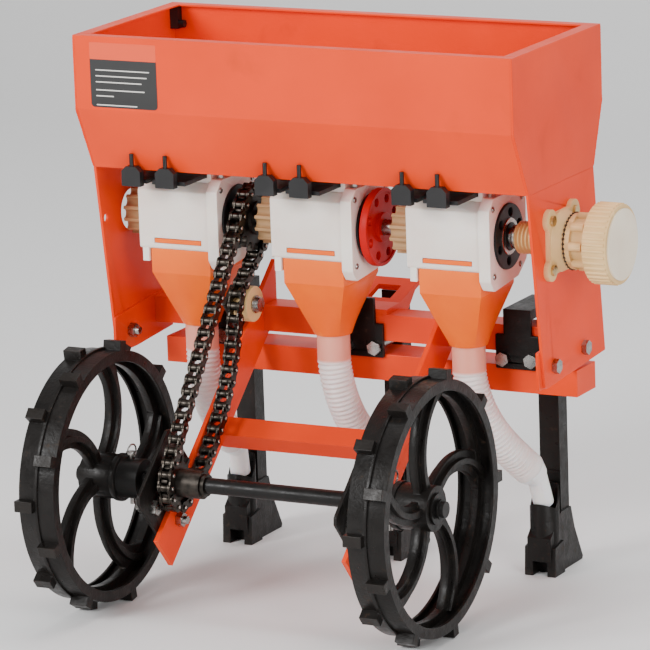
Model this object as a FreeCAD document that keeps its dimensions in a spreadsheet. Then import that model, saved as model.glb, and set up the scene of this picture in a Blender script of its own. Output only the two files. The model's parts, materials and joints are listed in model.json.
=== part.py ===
"""Three-row push seeder: hopper, three metering units, adjuster, tool frame, openers and chain-driven wheels.

Row frame: +X along the hopper towards the adjuster knob, +Y the way the machine travels, +Z up, millimetres.
The origin is the middle of the machine's footprint, on the ground.
"""
import FreeCAD, Part
import math
import os
import re
import Sketcher
from FreeCAD import Placement, Rotation, Vector

DRIVING = (
    ("mid_x", -31.2, "hopper's middle plane"),
    ("front_y", -15.5, "outside of the hopper's front panel"),
    ("hopper_len", 480, "hopper, end to end"),
    ("hopper_depth", 206, "hopper, front to back at the rim"),
    ("hopper_top", 560, "rim height"),
    ("hopper_bend", 486, "height where the panels start to slope in"),
    ("hopper_base", 421.5, "underside of the hopper"),
    ("front_slope", 30, "how far the front panel slopes in"),
    ("back_slope", 24, "how far the back panel slopes in"),
    ("sheet", 2, "hopper sheet thickness"),
    ("lip", 12, "folded rim lip"),
    ("plate", 3, "side plate thickness"),
    ("arm_t", 5, "drive arm thickness"),
    ("shaft_y", 82.5, "feed shaft"),
    ("shaft_z", 365, "feed shaft"),
    ("shaft_r", 8, "feed shaft radius"),
    ("axle_y", -93.5, "wheel axle"),
    ("axle_z", 134.5, "wheel axle"),
    ("axle_r", 8, "wheel axle radius"),
    ("running", 0.05, "running clearance on a radius"),
    ("drive_x", -37.2, "middle plane between the wheels"),
    ("chain_x", -128.2, "middle plane of the chain"),
    ("unit_pitch", 150, "distance between metering units"),
    ("unit_left", -87.2, "left end of the middle housing"),
    ("unit_len", 91, "housing length with its end flange"),
    ("unit_half", 40, "half the housing's depth"),
    ("roller_r", 24.5, "fluted roller radius"),
    ("roller_len", 85, "fluted roller length"),
    ("roller_out", 27, "how far a roller stands out of its housing"),
    ("leg_pitch", 173, "distance between openers"),
    ("leg_x", -26.2, "middle opener"),
    ("leg_y", 181.5, "front face of the opener legs"),
    ("leg_w", 22, "opener leg width"),
    ("leg_d", 20, "opener leg depth"),
    ("leg_top", 276, "top of the opener legs"),
    ("beam_y", 116.5, "front face of both tool beams"),
    ("beam_low", 199, "underside of the lower beam"),
    ("beam_high", 240, "underside of the upper beam"),
    ("beam_t", 27, "beam height"),
    ("upper_d", 30, "upper beam depth"),
    ("lower_d", 44, "lower beam depth"),
    ("wheel_r", 125, "wheel radius at the rim"),
    ("lug", 9.5, "lug height"),
    ("wheel_w", 39, "rim width"),
    ("wheel_half", 178.5, "drive_x to each wheel's middle"),
    ("arm_half", 103.5, "drive_x to each drive arm's middle"),
    ("arm_depth", 42, "drive arm depth"),
    ("arm_tilt", 40.8, "drive arm slope, degrees"),
    ("ear_y", 27, "adjuster flange's screws, either side of the shaft"),
    ("ear_z", 24.5, "adjuster flange's screws, above and below the shaft"),
    ("hose_r", 17, "seed hose outer radius"),
    ("pitch", 12.7, "chain pitch"),
)

doc = FreeCAD.newDocument("push_seeder")
sheet = doc.addObject("Spreadsheet::Sheet", "dims")
for row, (alias, value, note) in enumerate(DRIVING, 1):
    sheet.set("A%d" % row, note)
    sheet.set("B%d" % row, str(value))
    sheet.setAlias("B%d" % row, alias)
doc.recompute()

WORDS = {alias for alias, _, _ in DRIVING}
D = {alias: float(sheet.get(alias)) for alias in WORDS}
ORIGIN = Vector(0, 0, 0)
TURN = {
    "x": Rotation(Vector(0, 1, 0), 90),
    "y": Rotation(Vector(1, 0, 0), -90),
    "z": Rotation(),
}
nodes = []


# ---------------------------------------------------------------- helpers: objects bound to the sheet

def bound(text):
    """Write the sheet's name before each alias in an expression."""
    return re.sub(r"[a-z_]+", lambda m: "dims." + m.group() if m.group() in WORDS else m.group(), str(text))


def number(text):
    """The present value of an expression over the sheet."""
    value = sheet.evalExpression(bound(text))
    return float(getattr(value, "Value", value))


def place(item, x, y, z):
    for axis, text in zip("xyz", (x, y, z)):
        item.setExpression(".Placement.Base." + axis, bound(text))


def box(name, low, size):
    item = doc.addObject("Part::Box", name)
    for prop, text in zip(("Length", "Width", "Height"), size):
        item.setExpression(prop, bound(text))
    place(item, *low)
    return item


def rod(name, start, axis, radius, length):
    """A cylinder from start along +axis."""
    item = doc.addObject("Part::Cylinder", name)
    item.Placement = Placement(ORIGIN, TURN[axis])
    item.setExpression("Radius", bound(radius))
    item.setExpression("Height", bound(length))
    place(item, *start)
    return item


def cone(name, start, axis, radius, end_radius, length):
    item = doc.addObject("Part::Cone", name)
    item.Placement = Placement(ORIGIN, TURN[axis])
    item.setExpression("Radius1", bound(radius))
    item.setExpression("Radius2", bound(end_radius))
    item.setExpression("Height", bound(length))
    place(item, *start)
    return item


def fuse(name, *items):
    item = doc.addObject("Part::MultiFuse", name)
    item.Shapes = list(items)
    item.Refine = True
    return item


def cut(name, base, *tools):
    item = doc.addObject("Part::Cut", name)
    item.Base = base
    item.Tool = tools[0] if len(tools) == 1 else fuse(name + "_tools", *tools)
    item.Refine = True
    return item


def group(name, *items):
    """Separate solids that share one node."""
    item = doc.addObject("Part::Compound", name)
    item.Links = list(items)
    return item


def coded(name, shape):
    """A shape that only code can make; its sizes come from the sheet through D."""
    item = doc.addObject("Part::Feature", name)
    item.Shape = shape
    item.Placement = Placement()
    return item


def node(item, label):
    """Name a finished sub-part; the label is its file's name."""
    item.Label = label
    nodes.append(item)
    return item


PLANES = {"YZ": "YZ_Plane", "XZ": "XZ_Plane", "XY": "XY_Plane"}


def sketched(body, plane, points, circles, name):
    """A closed outline of straight sides, and round holes, each point bound to the sheet."""
    sketch = body.newObject("Sketcher::SketchObject", name)
    base = next(f for f in body.Origin.OriginFeatures if f.Role == PLANES[plane])
    sketch.AttachmentSupport = [(base, "")]
    sketch.MapMode = "FlatFace"
    corners = [Vector(number(u), number(v), 0) for u, v in points]
    for start, end in zip(corners, corners[1:] + corners[:1]):
        sketch.addGeometry(Part.LineSegment(start, end))
    count = len(points)
    for index in range(count):
        sketch.addConstraint(Sketcher.Constraint("Coincident", index, 2, (index + 1) % count, 1))
    pinned = [(index, 1, u, v) for index, (u, v) in enumerate(points)]
    for u, v, radius in circles:
        middle = Vector(number(u), number(v), 0)
        hole = sketch.addGeometry(Part.Circle(middle, Vector(0, 0, 1), number(radius)))
        pinned.append((hole, 3, u, v))
        size = sketch.addConstraint(Sketcher.Constraint("Radius", hole, number(radius)))
        sketch.setExpression("Constraints[%d]" % size, bound(radius))
    for geometry, end, u, v in pinned:
        for kind, text in (("DistanceX", u), ("DistanceY", v)):
            rule = Sketcher.Constraint(kind, -1, 1, geometry, end, number(text))
            index = sketch.addConstraint(rule)
            sketch.setExpression("Constraints[%d]" % index, bound(text))
    return sketch


def plate(name, plane, points, thickness, offset, circles=(), round_by=0):
    """A flat plate: an outline padded along the plane's normal, moved to offset, corners rounded."""
    body = doc.addObject("PartDesign::Body", name)
    pad = body.newObject("PartDesign::Pad", name + "_pad")
    pad.Profile = sketched(body, plane, points, circles, name + "_outline")
    pad.setExpression("Length", bound(thickness))
    normal = {"YZ": "x", "XZ": "y", "XY": "z"}[plane]
    body.setExpression(".Placement.Base." + normal, bound(offset))
    doc.recompute()
    if round_by:
        along = {"x": Vector(1, 0, 0), "y": Vector(0, 1, 0), "z": Vector(0, 0, 1)}[normal]
        sides = [
            "Edge%d" % (i + 1)
            for i, edge in enumerate(pad.Shape.Edges)
            if len(edge.Vertexes) == 2
            and abs((edge.Vertexes[1].Point - edge.Vertexes[0].Point).normalize() * along) > 0.99
            and isinstance(edge.Curve, Part.Line)
        ]
        fillet = body.newObject("PartDesign::Fillet", name + "_corners")
        fillet.Base = (pad, sides)
        fillet.Radius = round_by
    return body


def y(text):
    """A place measured back from the hopper's front panel."""
    return "front_y + %s" % text


# ---------------------------------------------------------------- hopper

back = "front_y + hopper_depth"


def hopper():
    panel_len = "hopper_len - 2*sheet"
    left = "mid_x - hopper_len/2 + sheet"
    front = (
        ("front_y + lip", "hopper_top"), ("front_y", "hopper_top"), ("front_y", "hopper_bend"),
        ("front_y + front_slope", "hopper_base"), ("front_y + front_slope + 1.1*sheet", "hopper_base"),
        ("front_y + sheet", "hopper_bend"), ("front_y + sheet", "hopper_top - sheet"),
        ("front_y + lip", "hopper_top - sheet"),
    )
    rear = (
        (back + " - lip", "hopper_top"), (back, "hopper_top"), (back, "hopper_bend"),
        (back + " - back_slope", "hopper_base"), (back + " - back_slope - 1.1*sheet", "hopper_base"),
        (back + " - sheet", "hopper_bend"), (back + " - sheet", "hopper_top - sheet"),
        (back + " - lip", "hopper_top - sheet"),
    )
    node(plate("front_panel", "YZ", front, panel_len, left), "hopper_front_panel")
    node(plate("back_panel", "YZ", rear, panel_len, left), "hopper_back_panel")

    end = (
        ("front_y", "hopper_top"), (back, "hopper_top"), (back, "hopper_bend"),
        (back + " - back_slope", "hopper_base"), ("front_y + front_slope", "hopper_base"),
        ("front_y", "hopper_bend"),
    )
    lip_size = ("lip", "hopper_depth - 2*lip - 1", "sheet")
    right = "mid_x + hopper_len/2 - sheet"
    for side, face, lip_x in (("left", "mid_x - hopper_len/2", left), ("right", right, right + " - lip")):
        wall = plate(side + "_end_wall", "YZ", end, "sheet", face)
        lip = box(side + "_end_lip", (lip_x, "front_y + lip + 0.5", "hopper_top - sheet"), lip_size)
        node(fuse(side + "_end", wall, lip), "hopper_end_" + side)

    floor_y = "front_y + front_slope + 1.1*sheet"
    slab = box("floor_slab", (left, floor_y, "hopper_base"),
               (panel_len, "hopper_depth - front_slope - back_slope - 2.2*sheet", "sheet"))
    outlets = [
        box("outlet_%d" % (k + 2), ("unit_left + %d*unit_pitch + 14" % k, "shaft_y - 20", "hopper_base - 1"),
            ("50", "40", "sheet + 2"))
        for k in (-1, 0, 1)
    ]
    node(cut("floor", slab, *outlets), "hopper_floor")

    stem = box("clip_stem", (left, back + " - sheet - 9", "hopper_top - sheet - 24"), ("9", "9", "22"))
    tip = ("mid_x - hopper_len/2 + sheet + 9", back + " - sheet - 5", "hopper_top - sheet - 19")
    nose = rod("clip_nose", tip,
               "x", "4", "6")
    node(fuse("clip", stem, nose), "lid_corner_clip")


# ---------------------------------------------------------------- frame under the hopper

def side_plates():
    outline = (
        (y(30), "hopper_base"), (y(58), "226"), (y(62), "224"), (y(201), "232"),
        (y(193), "300"), (y(187), "376"), (back + " - back_slope", "hopper_base"),
    )
    bolts = [(y(80), "243", "4.2"), (y(150), "246", "4.2")]
    bore = ("shaft_y", "shaft_z", "21")
    screws = [("shaft_y %s ear_y" % sy, "shaft_z %s ear_z" % sz, "3.2") for sy in "-+" for sz in "-+"]
    node(plate("left_side", "YZ", outline, "plate", "mid_x - hopper_len/2",
               bolts + [bore, (y(46), "shaft_z + 1", "4.2")]), "side_plate_left")
    node(plate("right_side", "YZ", outline, "plate", "mid_x + hopper_len/2 - plate",
               bolts + [bore] + screws), "side_plate_right")

    strap = (
        (y(50), "224"), (y(50), "262"), (y(128), "269"), (y(168), "269"), (y(168), "229"), (y(92), "224"),
    )
    faces = {"left": "mid_x - hopper_len/2 + plate", "right": "mid_x + hopper_len/2 - 2*plate"}
    straps = [plate(side + "_strap", "YZ", strap, "plate", face, bolts, 1.5) for side, face in faces.items()]
    node(group("straps", *straps), "end_straps")


def beams():
    inner = "hopper_len - 4*plate"
    start = "mid_x - hopper_len/2 + 2*plate"
    for name, low, depth, x_start, length in (
        ("upper", "beam_high", "upper_d", start, inner),
        ("lower", "beam_low", "lower_d", "mid_x - hopper_len/2 + 18", "hopper_len - 18"),
    ):
        tube = box(name + "_tube", (x_start, "beam_y", low), (length, depth, "beam_t"))
        hollow = box(name + "_hollow", (x_start + " + 12", "beam_y + 2.5", low + " + 2.5"),
                     (length + " - 24", depth + " - 5", "beam_t - 5"))
        start = (x_start + " - 5", y(150), "246")
        screw_hole = rod(name + "_screw_hole", start, "x", "4.0", length + " + 10")
        node(cut(name + "_beam", tube, hollow, screw_hole), name + "_tool_beam")

    top = "beam_high + beam_t"
    slope = (
        ("beam_y", top), ("beam_y", top + " + 5"),
        ("beam_y + 30", top + " + 6"), ("beam_y + 78", top + " + 20"),
        ("beam_y + 82", top + " + 16"), ("beam_y + 30", top),
    )
    tongue = plate("tongue", "YZ", slope, "54", "leg_x - 27")
    web = (("beam_y + upper_d", "beam_high + 3"), ("beam_y + upper_d", top), ("beam_y + 68", top + " + 12.8"))
    web_faces = {"a": "leg_x - 27", "b": "leg_x + 23"}
    webs = [plate("web_" + name, "YZ", web, "4", face) for name, face in web_faces.items()]
    square = box("socket_hole", ("leg_x - 12.75", "beam_y + 37.25", top + " - 30"), ("25.5", "25.5", "60"))
    node(cut("hitch", fuse("hitch_body", tongue, *webs), square), "hitch_plate")


def arm_point(along, across):
    """A point of the drive arms: along the arm from under the axle, and square to it from the axle."""
    tilt = math.radians(D["arm_tilt"])
    return Vector(
        0,
        D["axle_y"] + along * math.cos(tilt) - across * math.sin(tilt),
        D["axle_z"] + along * math.sin(tilt) + across * math.cos(tilt),
    )


def slab_x(points, x_low, thickness):
    """A flat plate square to X through the given points."""
    wire = Part.makePolygon([Vector(x_low, p.y, p.z) for p in points + points[:1]])
    return Part.Face(wire).extrude(Vector(thickness, 0, 0))


def bar_x(x_low, centre, radius, length):
    return Part.makeCylinder(radius, length, Vector(x_low, centre.y, centre.z), Vector(1, 0, 0))


ARM_EDGE = -23.5
ARM_END = -56
PLATE_BOLTS = ((-32, 0), (32, 0))
ARM_BOLTS = ((-16, -42), (24, -42))


def arm_faces():
    """Low X of the left and right arms, and of the bearing plates outboard of them."""
    left = D["drive_x"] - D["arm_half"] - D["arm_t"] / 2
    right = D["drive_x"] + D["arm_half"] - D["arm_t"] / 2
    return {"left": (left, left - 4), "right": (right, right + D["arm_t"])}


def arms():
    upper_y = D["front_y"] + 160
    top_edge = arm_point(0, ARM_EDGE)
    slope = math.tan(math.radians(D["arm_tilt"]))
    crest = Vector(0, upper_y, top_edge.z + (upper_y - top_edge.y) * slope)
    depth = D["arm_depth"] / math.cos(math.radians(D["arm_tilt"]))
    outline = [
        arm_point(ARM_END, ARM_EDGE),
        crest,
        Vector(0, upper_y, crest.z - depth),
        arm_point(ARM_END, ARM_EDGE - D["arm_depth"]),
    ]
    gap = 0.2
    window = Part.makeBox(400, D["upper_d"] + 2 * gap, D["beam_t"] + 2 * gap,
                          Vector(-300, D["beam_y"] - gap, D["beam_high"] - gap))
    under = Part.makeBox(400, 60, D["beam_t"] + gap, Vector(-300, D["beam_y"] - gap, D["beam_low"]))
    for side, (arm_x, plate_x) in arm_faces().items():
        shape = slab_x(outline, arm_x, D["arm_t"])
        shape = shape.cut(window).cut(under)
        for along, across in ARM_BOLTS:
            shape = shape.cut(bar_x(arm_x - 1, arm_point(along, across), 4.1, D["arm_t"] + 2))
        node(coded("arm_" + side, shape), "drive_arm_" + side)

    tilt = D["arm_tilt"]
    length = D["arm_half"] * 2 - D["arm_t"]
    tube = Part.makeBox(length, 22, 22).cut(Part.makeBox(length - 4, 18, 18, Vector(2, 2, 2)))
    corner = arm_point(89.5, ARM_EDGE - D["arm_depth"] - 1)
    cross = coded("cross", tube)
    low_x = D["drive_x"] - length / 2
    cross.Placement = Placement(Vector(low_x, corner.y, corner.z), Rotation(Vector(1, 0, 0), tilt))
    node(cross, "arm_cross_tube")


def bearings():
    """Black carrier plates on the arms, pressed flange bearings on the plates."""
    outline = [arm_point(-46, 24), arm_point(-40, 30), arm_point(40, 30), arm_point(46, 24),
               arm_point(46, -58), arm_point(40, -64), arm_point(-40, -64), arm_point(-46, -58)]
    carriers = []
    housings = []
    for side, (_, plate_x) in arm_faces().items():
        shape = slab_x(outline, plate_x, 4)
        shape = shape.cut(bar_x(plate_x - 1, arm_point(0, 0), 17, 6))
        for along, across in PLATE_BOLTS + ARM_BOLTS:
            shape = shape.cut(bar_x(plate_x - 1, arm_point(along, across), 4.1, 6))
        carriers.append(coded("carrier_" + side, shape))

        out = -1 if side == "left" else 1
        face = plate_x if side == "left" else plate_x + 4
        flange = slab_x([arm_point(-42, 5), arm_point(-12, 24), arm_point(12, 24), arm_point(42, 5),
                         arm_point(42, -5), arm_point(12, -24), arm_point(-12, -24), arm_point(-42, -5)],
                        min(face, face + out * 3), 3)
        bulge = Part.makeCone(20.5, 15, 11, Vector(face, D["axle_y"], D["axle_z"]), Vector(out, 0, 0))
        bearing = flange.fuse(bulge)
        for along, across in PLATE_BOLTS:
            bearing = bearing.cut(bar_x(min(face, face + out * 3) - 1, arm_point(along, across), 4.1, 5))
        bore = Part.makeCylinder(D["axle_r"] + D["running"], 40, Vector(face - 20, D["axle_y"], D["axle_z"]),
                                 Vector(1, 0, 0))
        housings.append(coded("bearing_" + side, bearing.cut(bore)))
    node(group("carriers", *carriers), "bearing_carrier_plates")
    node(group("axle_bearing_pair", *housings), "axle_bearings")


# ---------------------------------------------------------------- openers

LEG_NAMES = ("left", "middle", "right")


def openers():
    for k, side in enumerate(LEG_NAMES, -1):
        middle = "leg_x + %d*leg_pitch" % k
        leg = box("leg_" + side, (middle + " - leg_w/2", "leg_y", "40"), ("leg_w", "leg_d", "leg_top - 40"))
        shoe_points = (
            ("leg_y - 29", "0"), ("leg_y + 45", "0"), ("leg_y + 46.5", "3"), ("leg_y + 28", "38"),
            ("leg_y + 20", "62"), ("leg_y - 4", "62"), ("leg_y - 31", "40"),
        )
        shoe = plate("shoe_" + side, "YZ", shoe_points, "26", middle + " - 13")
        spout = rod("boot_tube_" + side, (middle, "leg_y - 15.4", "14"), "z", "15", "78")
        wing = plate("wing_" + side, "YZ", (("leg_y - 30", "0"), ("leg_y - 6", "0"), ("leg_y - 8", "34"),
                                            ("leg_y - 28", "30")), "34", middle + " - 17")
        solid = fuse("opener_solid_" + side, leg, shoe, spout, wing)
        hole = rod("seed_hole_" + side, (middle, "leg_y - 15.4", "12"), "z", "13.2", "100")
        slant = box("mouth_cut_" + side, (middle + " - 20", "leg_y - 50", "0"), ("40", "49.9", "40"))
        slant.Placement = Placement(ORIGIN, Rotation(Vector(1, 0, 0), -28))
        place(slant, middle + " - 20", "leg_y - 62", "92")
        exit_way = box("seed_exit_" + side, (middle + " - 8", "leg_y - 40", "-1"), ("16", "26", "16"))
        node(cut("opener_" + side, solid, hole, slant, exit_way), "opener_" + side)


BOLT_OUT = "15.5"
BOLT_UP = "233.5"


def clamps():
    """Each opener is held to both beams by a stepped front clamp, a back strap and two long bolts."""
    parts = []
    for k, side in enumerate(LEG_NAMES, -1):
        middle = "leg_x + %d*leg_pitch" % k
        low = box("clamp_low_" + side, (middle + " - 24", "beam_y - 4.2", "beam_low + beam_t - 3"),
                  ("48", "4", "35"))
        high = box("clamp_high_" + side, (middle + " - 15", "beam_y - 4.2", "beam_high + 10"),
                   ("30", "4", "34"))
        pieces = [low, high]
        if k:
            corner = (middle + " - 15", "beam_y - 4.2", "beam_high + beam_t + 7")
            pieces.append(box("clamp_cap_" + side, corner, ("30", "leg_y - beam_y + 4", "10")))
        strap = box("strap_" + side, (middle + " - 24", "leg_y + leg_d + 0.2", "223"), ("48", "6", "22"))
        holes = []
        strap_holes = []
        for sign in ("-", "+"):
            hole_x = "%s %s %s" % (middle, sign, BOLT_OUT)
            name = side + sign
            holes.append(rod("clamp_hole_" + name, (hole_x, "beam_y - 20", BOLT_UP), "y", "4.2", "30"))
            start = (hole_x, "leg_y + leg_d - 2", BOLT_UP)
            strap_holes.append(rod("strap_hole_" + name, start, "y", "4.2", "12"))
        parts.append(cut("clamp_" + side, fuse("clamp_solid_" + side, *pieces), *holes))
        parts.append(cut("clamp_strap_" + side, strap, *strap_holes))
    node(group("clamps", *parts), "opener_clamps")


# ---------------------------------------------------------------- metering units

def ring_points(count, radius, phase=0.0):
    """Points evenly round the X axis, as offsets in Y and Z."""
    for i in range(count):
        angle = phase + 2 * math.pi * i / count
        yield Vector(0, radius * math.cos(angle), radius * math.sin(angle))


SHAFT = Vector(0, D["shaft_y"], D["shaft_z"])
AXLE = Vector(0, D["axle_y"], D["axle_z"])


def housings():
    """White housings: a body round the roller, a neck up to the hopper, an end flange and a foot."""
    for k, side in enumerate(LEG_NAMES, -1):
        left = "unit_left + %d*unit_pitch" % k
        body = (
            ("shaft_y - unit_half", "shaft_z - 30"), ("shaft_y - unit_half", "shaft_z + 30"),
            ("shaft_y - unit_half + 9", "shaft_z + 39"), ("shaft_y + unit_half - 9", "shaft_z + 39"),
            ("shaft_y + unit_half", "shaft_z + 30"), ("shaft_y + unit_half", "shaft_z - 30"),
        )
        flange = (
            ("shaft_y - unit_half + 6", "shaft_z - 49"), ("shaft_y - unit_half - 2", "shaft_z - 38"),
            ("shaft_y - unit_half - 2", "shaft_z + 32"), ("shaft_y - unit_half + 10", "shaft_z + 43"),
            ("shaft_y + unit_half - 10", "shaft_z + 43"), ("shaft_y + unit_half + 2", "shaft_z + 32"),
            ("shaft_y + unit_half + 2", "shaft_z - 30"), ("shaft_y + unit_half - 18", "shaft_z - 44"),
        )
        shell = plate("shell_" + side, "YZ", body, "unit_len - 10", left, (), 3)
        end = plate("flange_" + side, "YZ", flange, "12", left + " + unit_len - 12", (), 4)
        neck = box("neck_" + side, (left + " + 4", "shaft_y - 30", "shaft_z + 38"),
                   ("unit_len - 16", "60", "hopper_base - shaft_z - 38"))
        foot = box("foot_" + side, (left + " + 3", "shaft_y - unit_half", "shaft_z - 43"), ("7", "24", "14"))
        solid = fuse("housing_solid_" + side, shell, end, neck, foot)
        start = (left + " - 1", "shaft_y", "shaft_z")
        bore = rod("roller_bore_" + side, start, "x", "roller_r + 0.4", "unit_len - 6")
        seat = rod("disc_seat_" + side, (left + " + unit_len - 7", "shaft_y", "shaft_z"), "x", "33", "8")
        throat = box("throat_" + side, (left + " + 14", "shaft_y - 18", "shaft_z"), ("50", "36", "90"))
        chute = box("chute_" + side, (left + " + 14", "shaft_y - 33", "shaft_z - 60"), ("62", "66", "52"))
        corner = (left + " + 2", "shaft_y - 60", "shaft_z + 43.6")
        gate = box("gate_way_" + side, corner, ("72.4", "92", "4.8"))
        corner = (left + " + 16.5", "shaft_y - unit_half - 1", "shaft_z - 24")
        slot = box("slot_" + side, corner, ("54", "9", "5.5"))
        node(cut("housing_" + side, solid, bore, seat, throat, chute, gate, slot), "metering_housing_" + side)


def fluted(x_low, length, radius, depth, flutes, bore):
    """A round roller with scooped flutes along it."""
    roller = Part.makeCylinder(radius, length, Vector(x_low, SHAFT.y, SHAFT.z), Vector(1, 0, 0))
    scoop_r = math.pi * radius / flutes * 0.72
    for offset in ring_points(flutes, radius + scoop_r - depth):
        centre = SHAFT + offset
        roller = roller.cut(Part.makeCylinder(scoop_r, length + 2, Vector(x_low - 1, centre.y, centre.z),
                                              Vector(1, 0, 0)))
    hole = Part.makeCylinder(bore, length + 2, Vector(x_low - 1, SHAFT.y, SHAFT.z), Vector(1, 0, 0))
    return roller.cut(hole)


def rollers():
    for k, side in enumerate(LEG_NAMES, -1):
        x_low = D["unit_left"] + k * D["unit_pitch"] - D["roller_out"]
        shape = fluted(x_low, D["roller_len"], D["roller_r"], 5, 12, D["shaft_r"])
        node(coded("roller_" + side, shape), "feed_roller_" + side)


def pierced_disc(x_low, thickness, radius, bore, holes, hole_r, hole_at):
    disc = Part.makeCylinder(radius, thickness, Vector(x_low, SHAFT.y, SHAFT.z), Vector(1, 0, 0))
    start = Vector(x_low - 1, SHAFT.y, SHAFT.z)
    disc = disc.cut(Part.makeCylinder(bore, thickness + 2, start, Vector(1, 0, 0)))
    for offset in ring_points(holes, hole_at, 0.4):
        centre = SHAFT + offset
        disc = disc.cut(Part.makeCylinder(hole_r, thickness + 2, Vector(x_low - 1, centre.y, centre.z),
                                          Vector(1, 0, 0)))
    return disc


def discs():
    bore = D["shaft_r"] + D["running"]
    parts = []
    for k, side in enumerate(LEG_NAMES, -1):
        face = D["unit_left"] + k * D["unit_pitch"] + D["unit_len"]
        rim = pierced_disc(face - 6.5, 8.5, 32.6, bore, 6, 4.5, 24)
        hub = Part.makeCylinder(14, 10.5, Vector(face - 6.5, SHAFT.y, SHAFT.z), Vector(1, 0, 0)).cut(
            Part.makeCylinder(bore, 14, Vector(face - 8, SHAFT.y, SHAFT.z), Vector(1, 0, 0)))
        parts.append(coded("disc_" + side, rim.fuse(hub).removeSplitter()))
    node(group("disc_set", *parts), "rotor_discs")

    face = D["unit_left"] + D["unit_len"]
    web = pierced_disc(face + 8, 5, 39, D["shaft_r"], 8, 4.4, 29)
    hub = Part.makeCylinder(15, 10, Vector(face + 6, SHAFT.y, SHAFT.z), Vector(1, 0, 0)).cut(
        Part.makeCylinder(D["shaft_r"], 12, Vector(face + 5, SHAFT.y, SHAFT.z), Vector(1, 0, 0)))
    rim = Part.makeCylinder(39, 8, Vector(face + 6.5, SHAFT.y, SHAFT.z), Vector(1, 0, 0)).cut(
        Part.makeCylinder(35.5, 10, Vector(face + 5.5, SHAFT.y, SHAFT.z), Vector(1, 0, 0)))
    node(coded("index", web.fuse([hub, rim]).removeSplitter()), "index_disc")

    collar_x = "mid_x + 192.3"
    ring = rod("collar_ring", (collar_x, "shaft_y", "shaft_z"), "x", "12", "4")
    hole = rod("collar_hole", (collar_x + " - 1", "shaft_y", "shaft_z"), "x", "shaft_r + running", "6")
    node(cut("collar", ring, hole), "thrust_collar")
    node(rod("shaft", ("mid_x - 236", "shaft_y", "shaft_z"), "x", "shaft_r", "446"), "feed_shaft")


def shutters():
    """A sliding shutter under each hopper outlet, with two finger tabs in front."""
    for k, side in enumerate(LEG_NAMES, -1):
        left = "unit_left + %d*unit_pitch + 2.6" % k
        blade = box("blade_" + side, (left, "shaft_y - 74", "shaft_z + 44"), ("71", "102", "4"))
        pieces = [blade]
        for n, tab_x in enumerate((" + 3.5", " + 41.5")):
            block = plate("tab_%s_%d" % (side, n), "XZ", (
                (left + tab_x, "shaft_z + 42"), (left + tab_x + " + 21", "shaft_z + 42"),
                (left + tab_x + " + 21", "shaft_z + 57"), (left + tab_x + " + 16", "shaft_z + 62"),
                (left + tab_x + " + 5", "shaft_z + 62"), (left + tab_x, "shaft_z + 57")), "8", "shaft_y - 74")
            foot = (left + tab_x + " + 10.5", "shaft_y - 79", "shaft_z + 60.5")
            pin = rod("pin_%s_%d" % (side, n), foot, "z", "2.2", "14")
            pieces += [block, pin]
        notch = box("notch_" + side, (left + " + 27.5", "shaft_y - 76", "shaft_z + 43"), ("6", "24", "6"))
        node(cut("shutter_" + side, fuse("shutter_solid_" + side, *pieces), notch), "shutter_" + side)


def ring_wire(centre, half_x, half_y, z):
    """A rectangle's outline, from its low X and low Y corner round."""
    corners = [(-half_x, -half_y), (half_x, -half_y), (half_x, half_y), (-half_x, half_y)]
    points = [Vector(centre.x + a, centre.y + b, z) for a, b in corners]
    return Part.makePolygon(points + points[:1])


def circle_wire(centre, radius, z):
    """A circle in four arcs that start where the rectangle's corners do."""
    def at(degrees):
        angle = math.radians(degrees)
        return Vector(centre.x + radius * math.cos(angle), centre.y + radius * math.sin(angle), z)
    quarters = [Part.Arc(at(corner), at(corner + 45), at(corner + 90)) for corner in (225, 315, 405, 495)]
    return Part.Wire([quarter.toShape() for quarter in quarters])


FUNNEL_TOP = D["shaft_z"] - 30
FUNNEL_BEND = 310.0
FUNNEL_OUT = 253.0


def funnel_shape(centre, shrink):
    """The space inside a funnel's outline, drawn in by shrink."""
    half_x = 33.2 - shrink
    half_y = 38 - shrink
    straight = FUNNEL_TOP - FUNNEL_BEND
    top = Part.Face(ring_wire(centre, half_x, half_y, FUNNEL_BEND)).extrude(Vector(0, 0, straight))
    taper = Part.makeLoft([ring_wire(centre, half_x, half_y, FUNNEL_BEND),
                           circle_wire(centre, 19.0 - 2.1 * shrink, FUNNEL_OUT)], True, True)
    spigot = Part.makeCylinder(16.6 - shrink, 27, Vector(centre.x, centre.y, FUNNEL_OUT - 27))
    return top.fuse([taper, spigot])


def funnels():
    for k, side in enumerate(LEG_NAMES, -1):
        centre = Vector(D["unit_left"] + k * D["unit_pitch"] + 45, D["shaft_y"], 0)
        inside = funnel_shape(centre, 2.2)
        lid = Part.makeBox(62, 71.6, 4, Vector(centre.x - 31, centre.y - 35.8, FUNNEL_TOP - 2))
        bottom = Part.makeCylinder(14.4, 4, Vector(centre.x, centre.y, FUNNEL_OUT - 29))
        shape = funnel_shape(centre, 0).cut(inside.fuse([lid, bottom])).removeSplitter()
        node(coded("funnel_" + side, shape), "seed_funnel_" + side)


# ---------------------------------------------------------------- hoses

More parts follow.
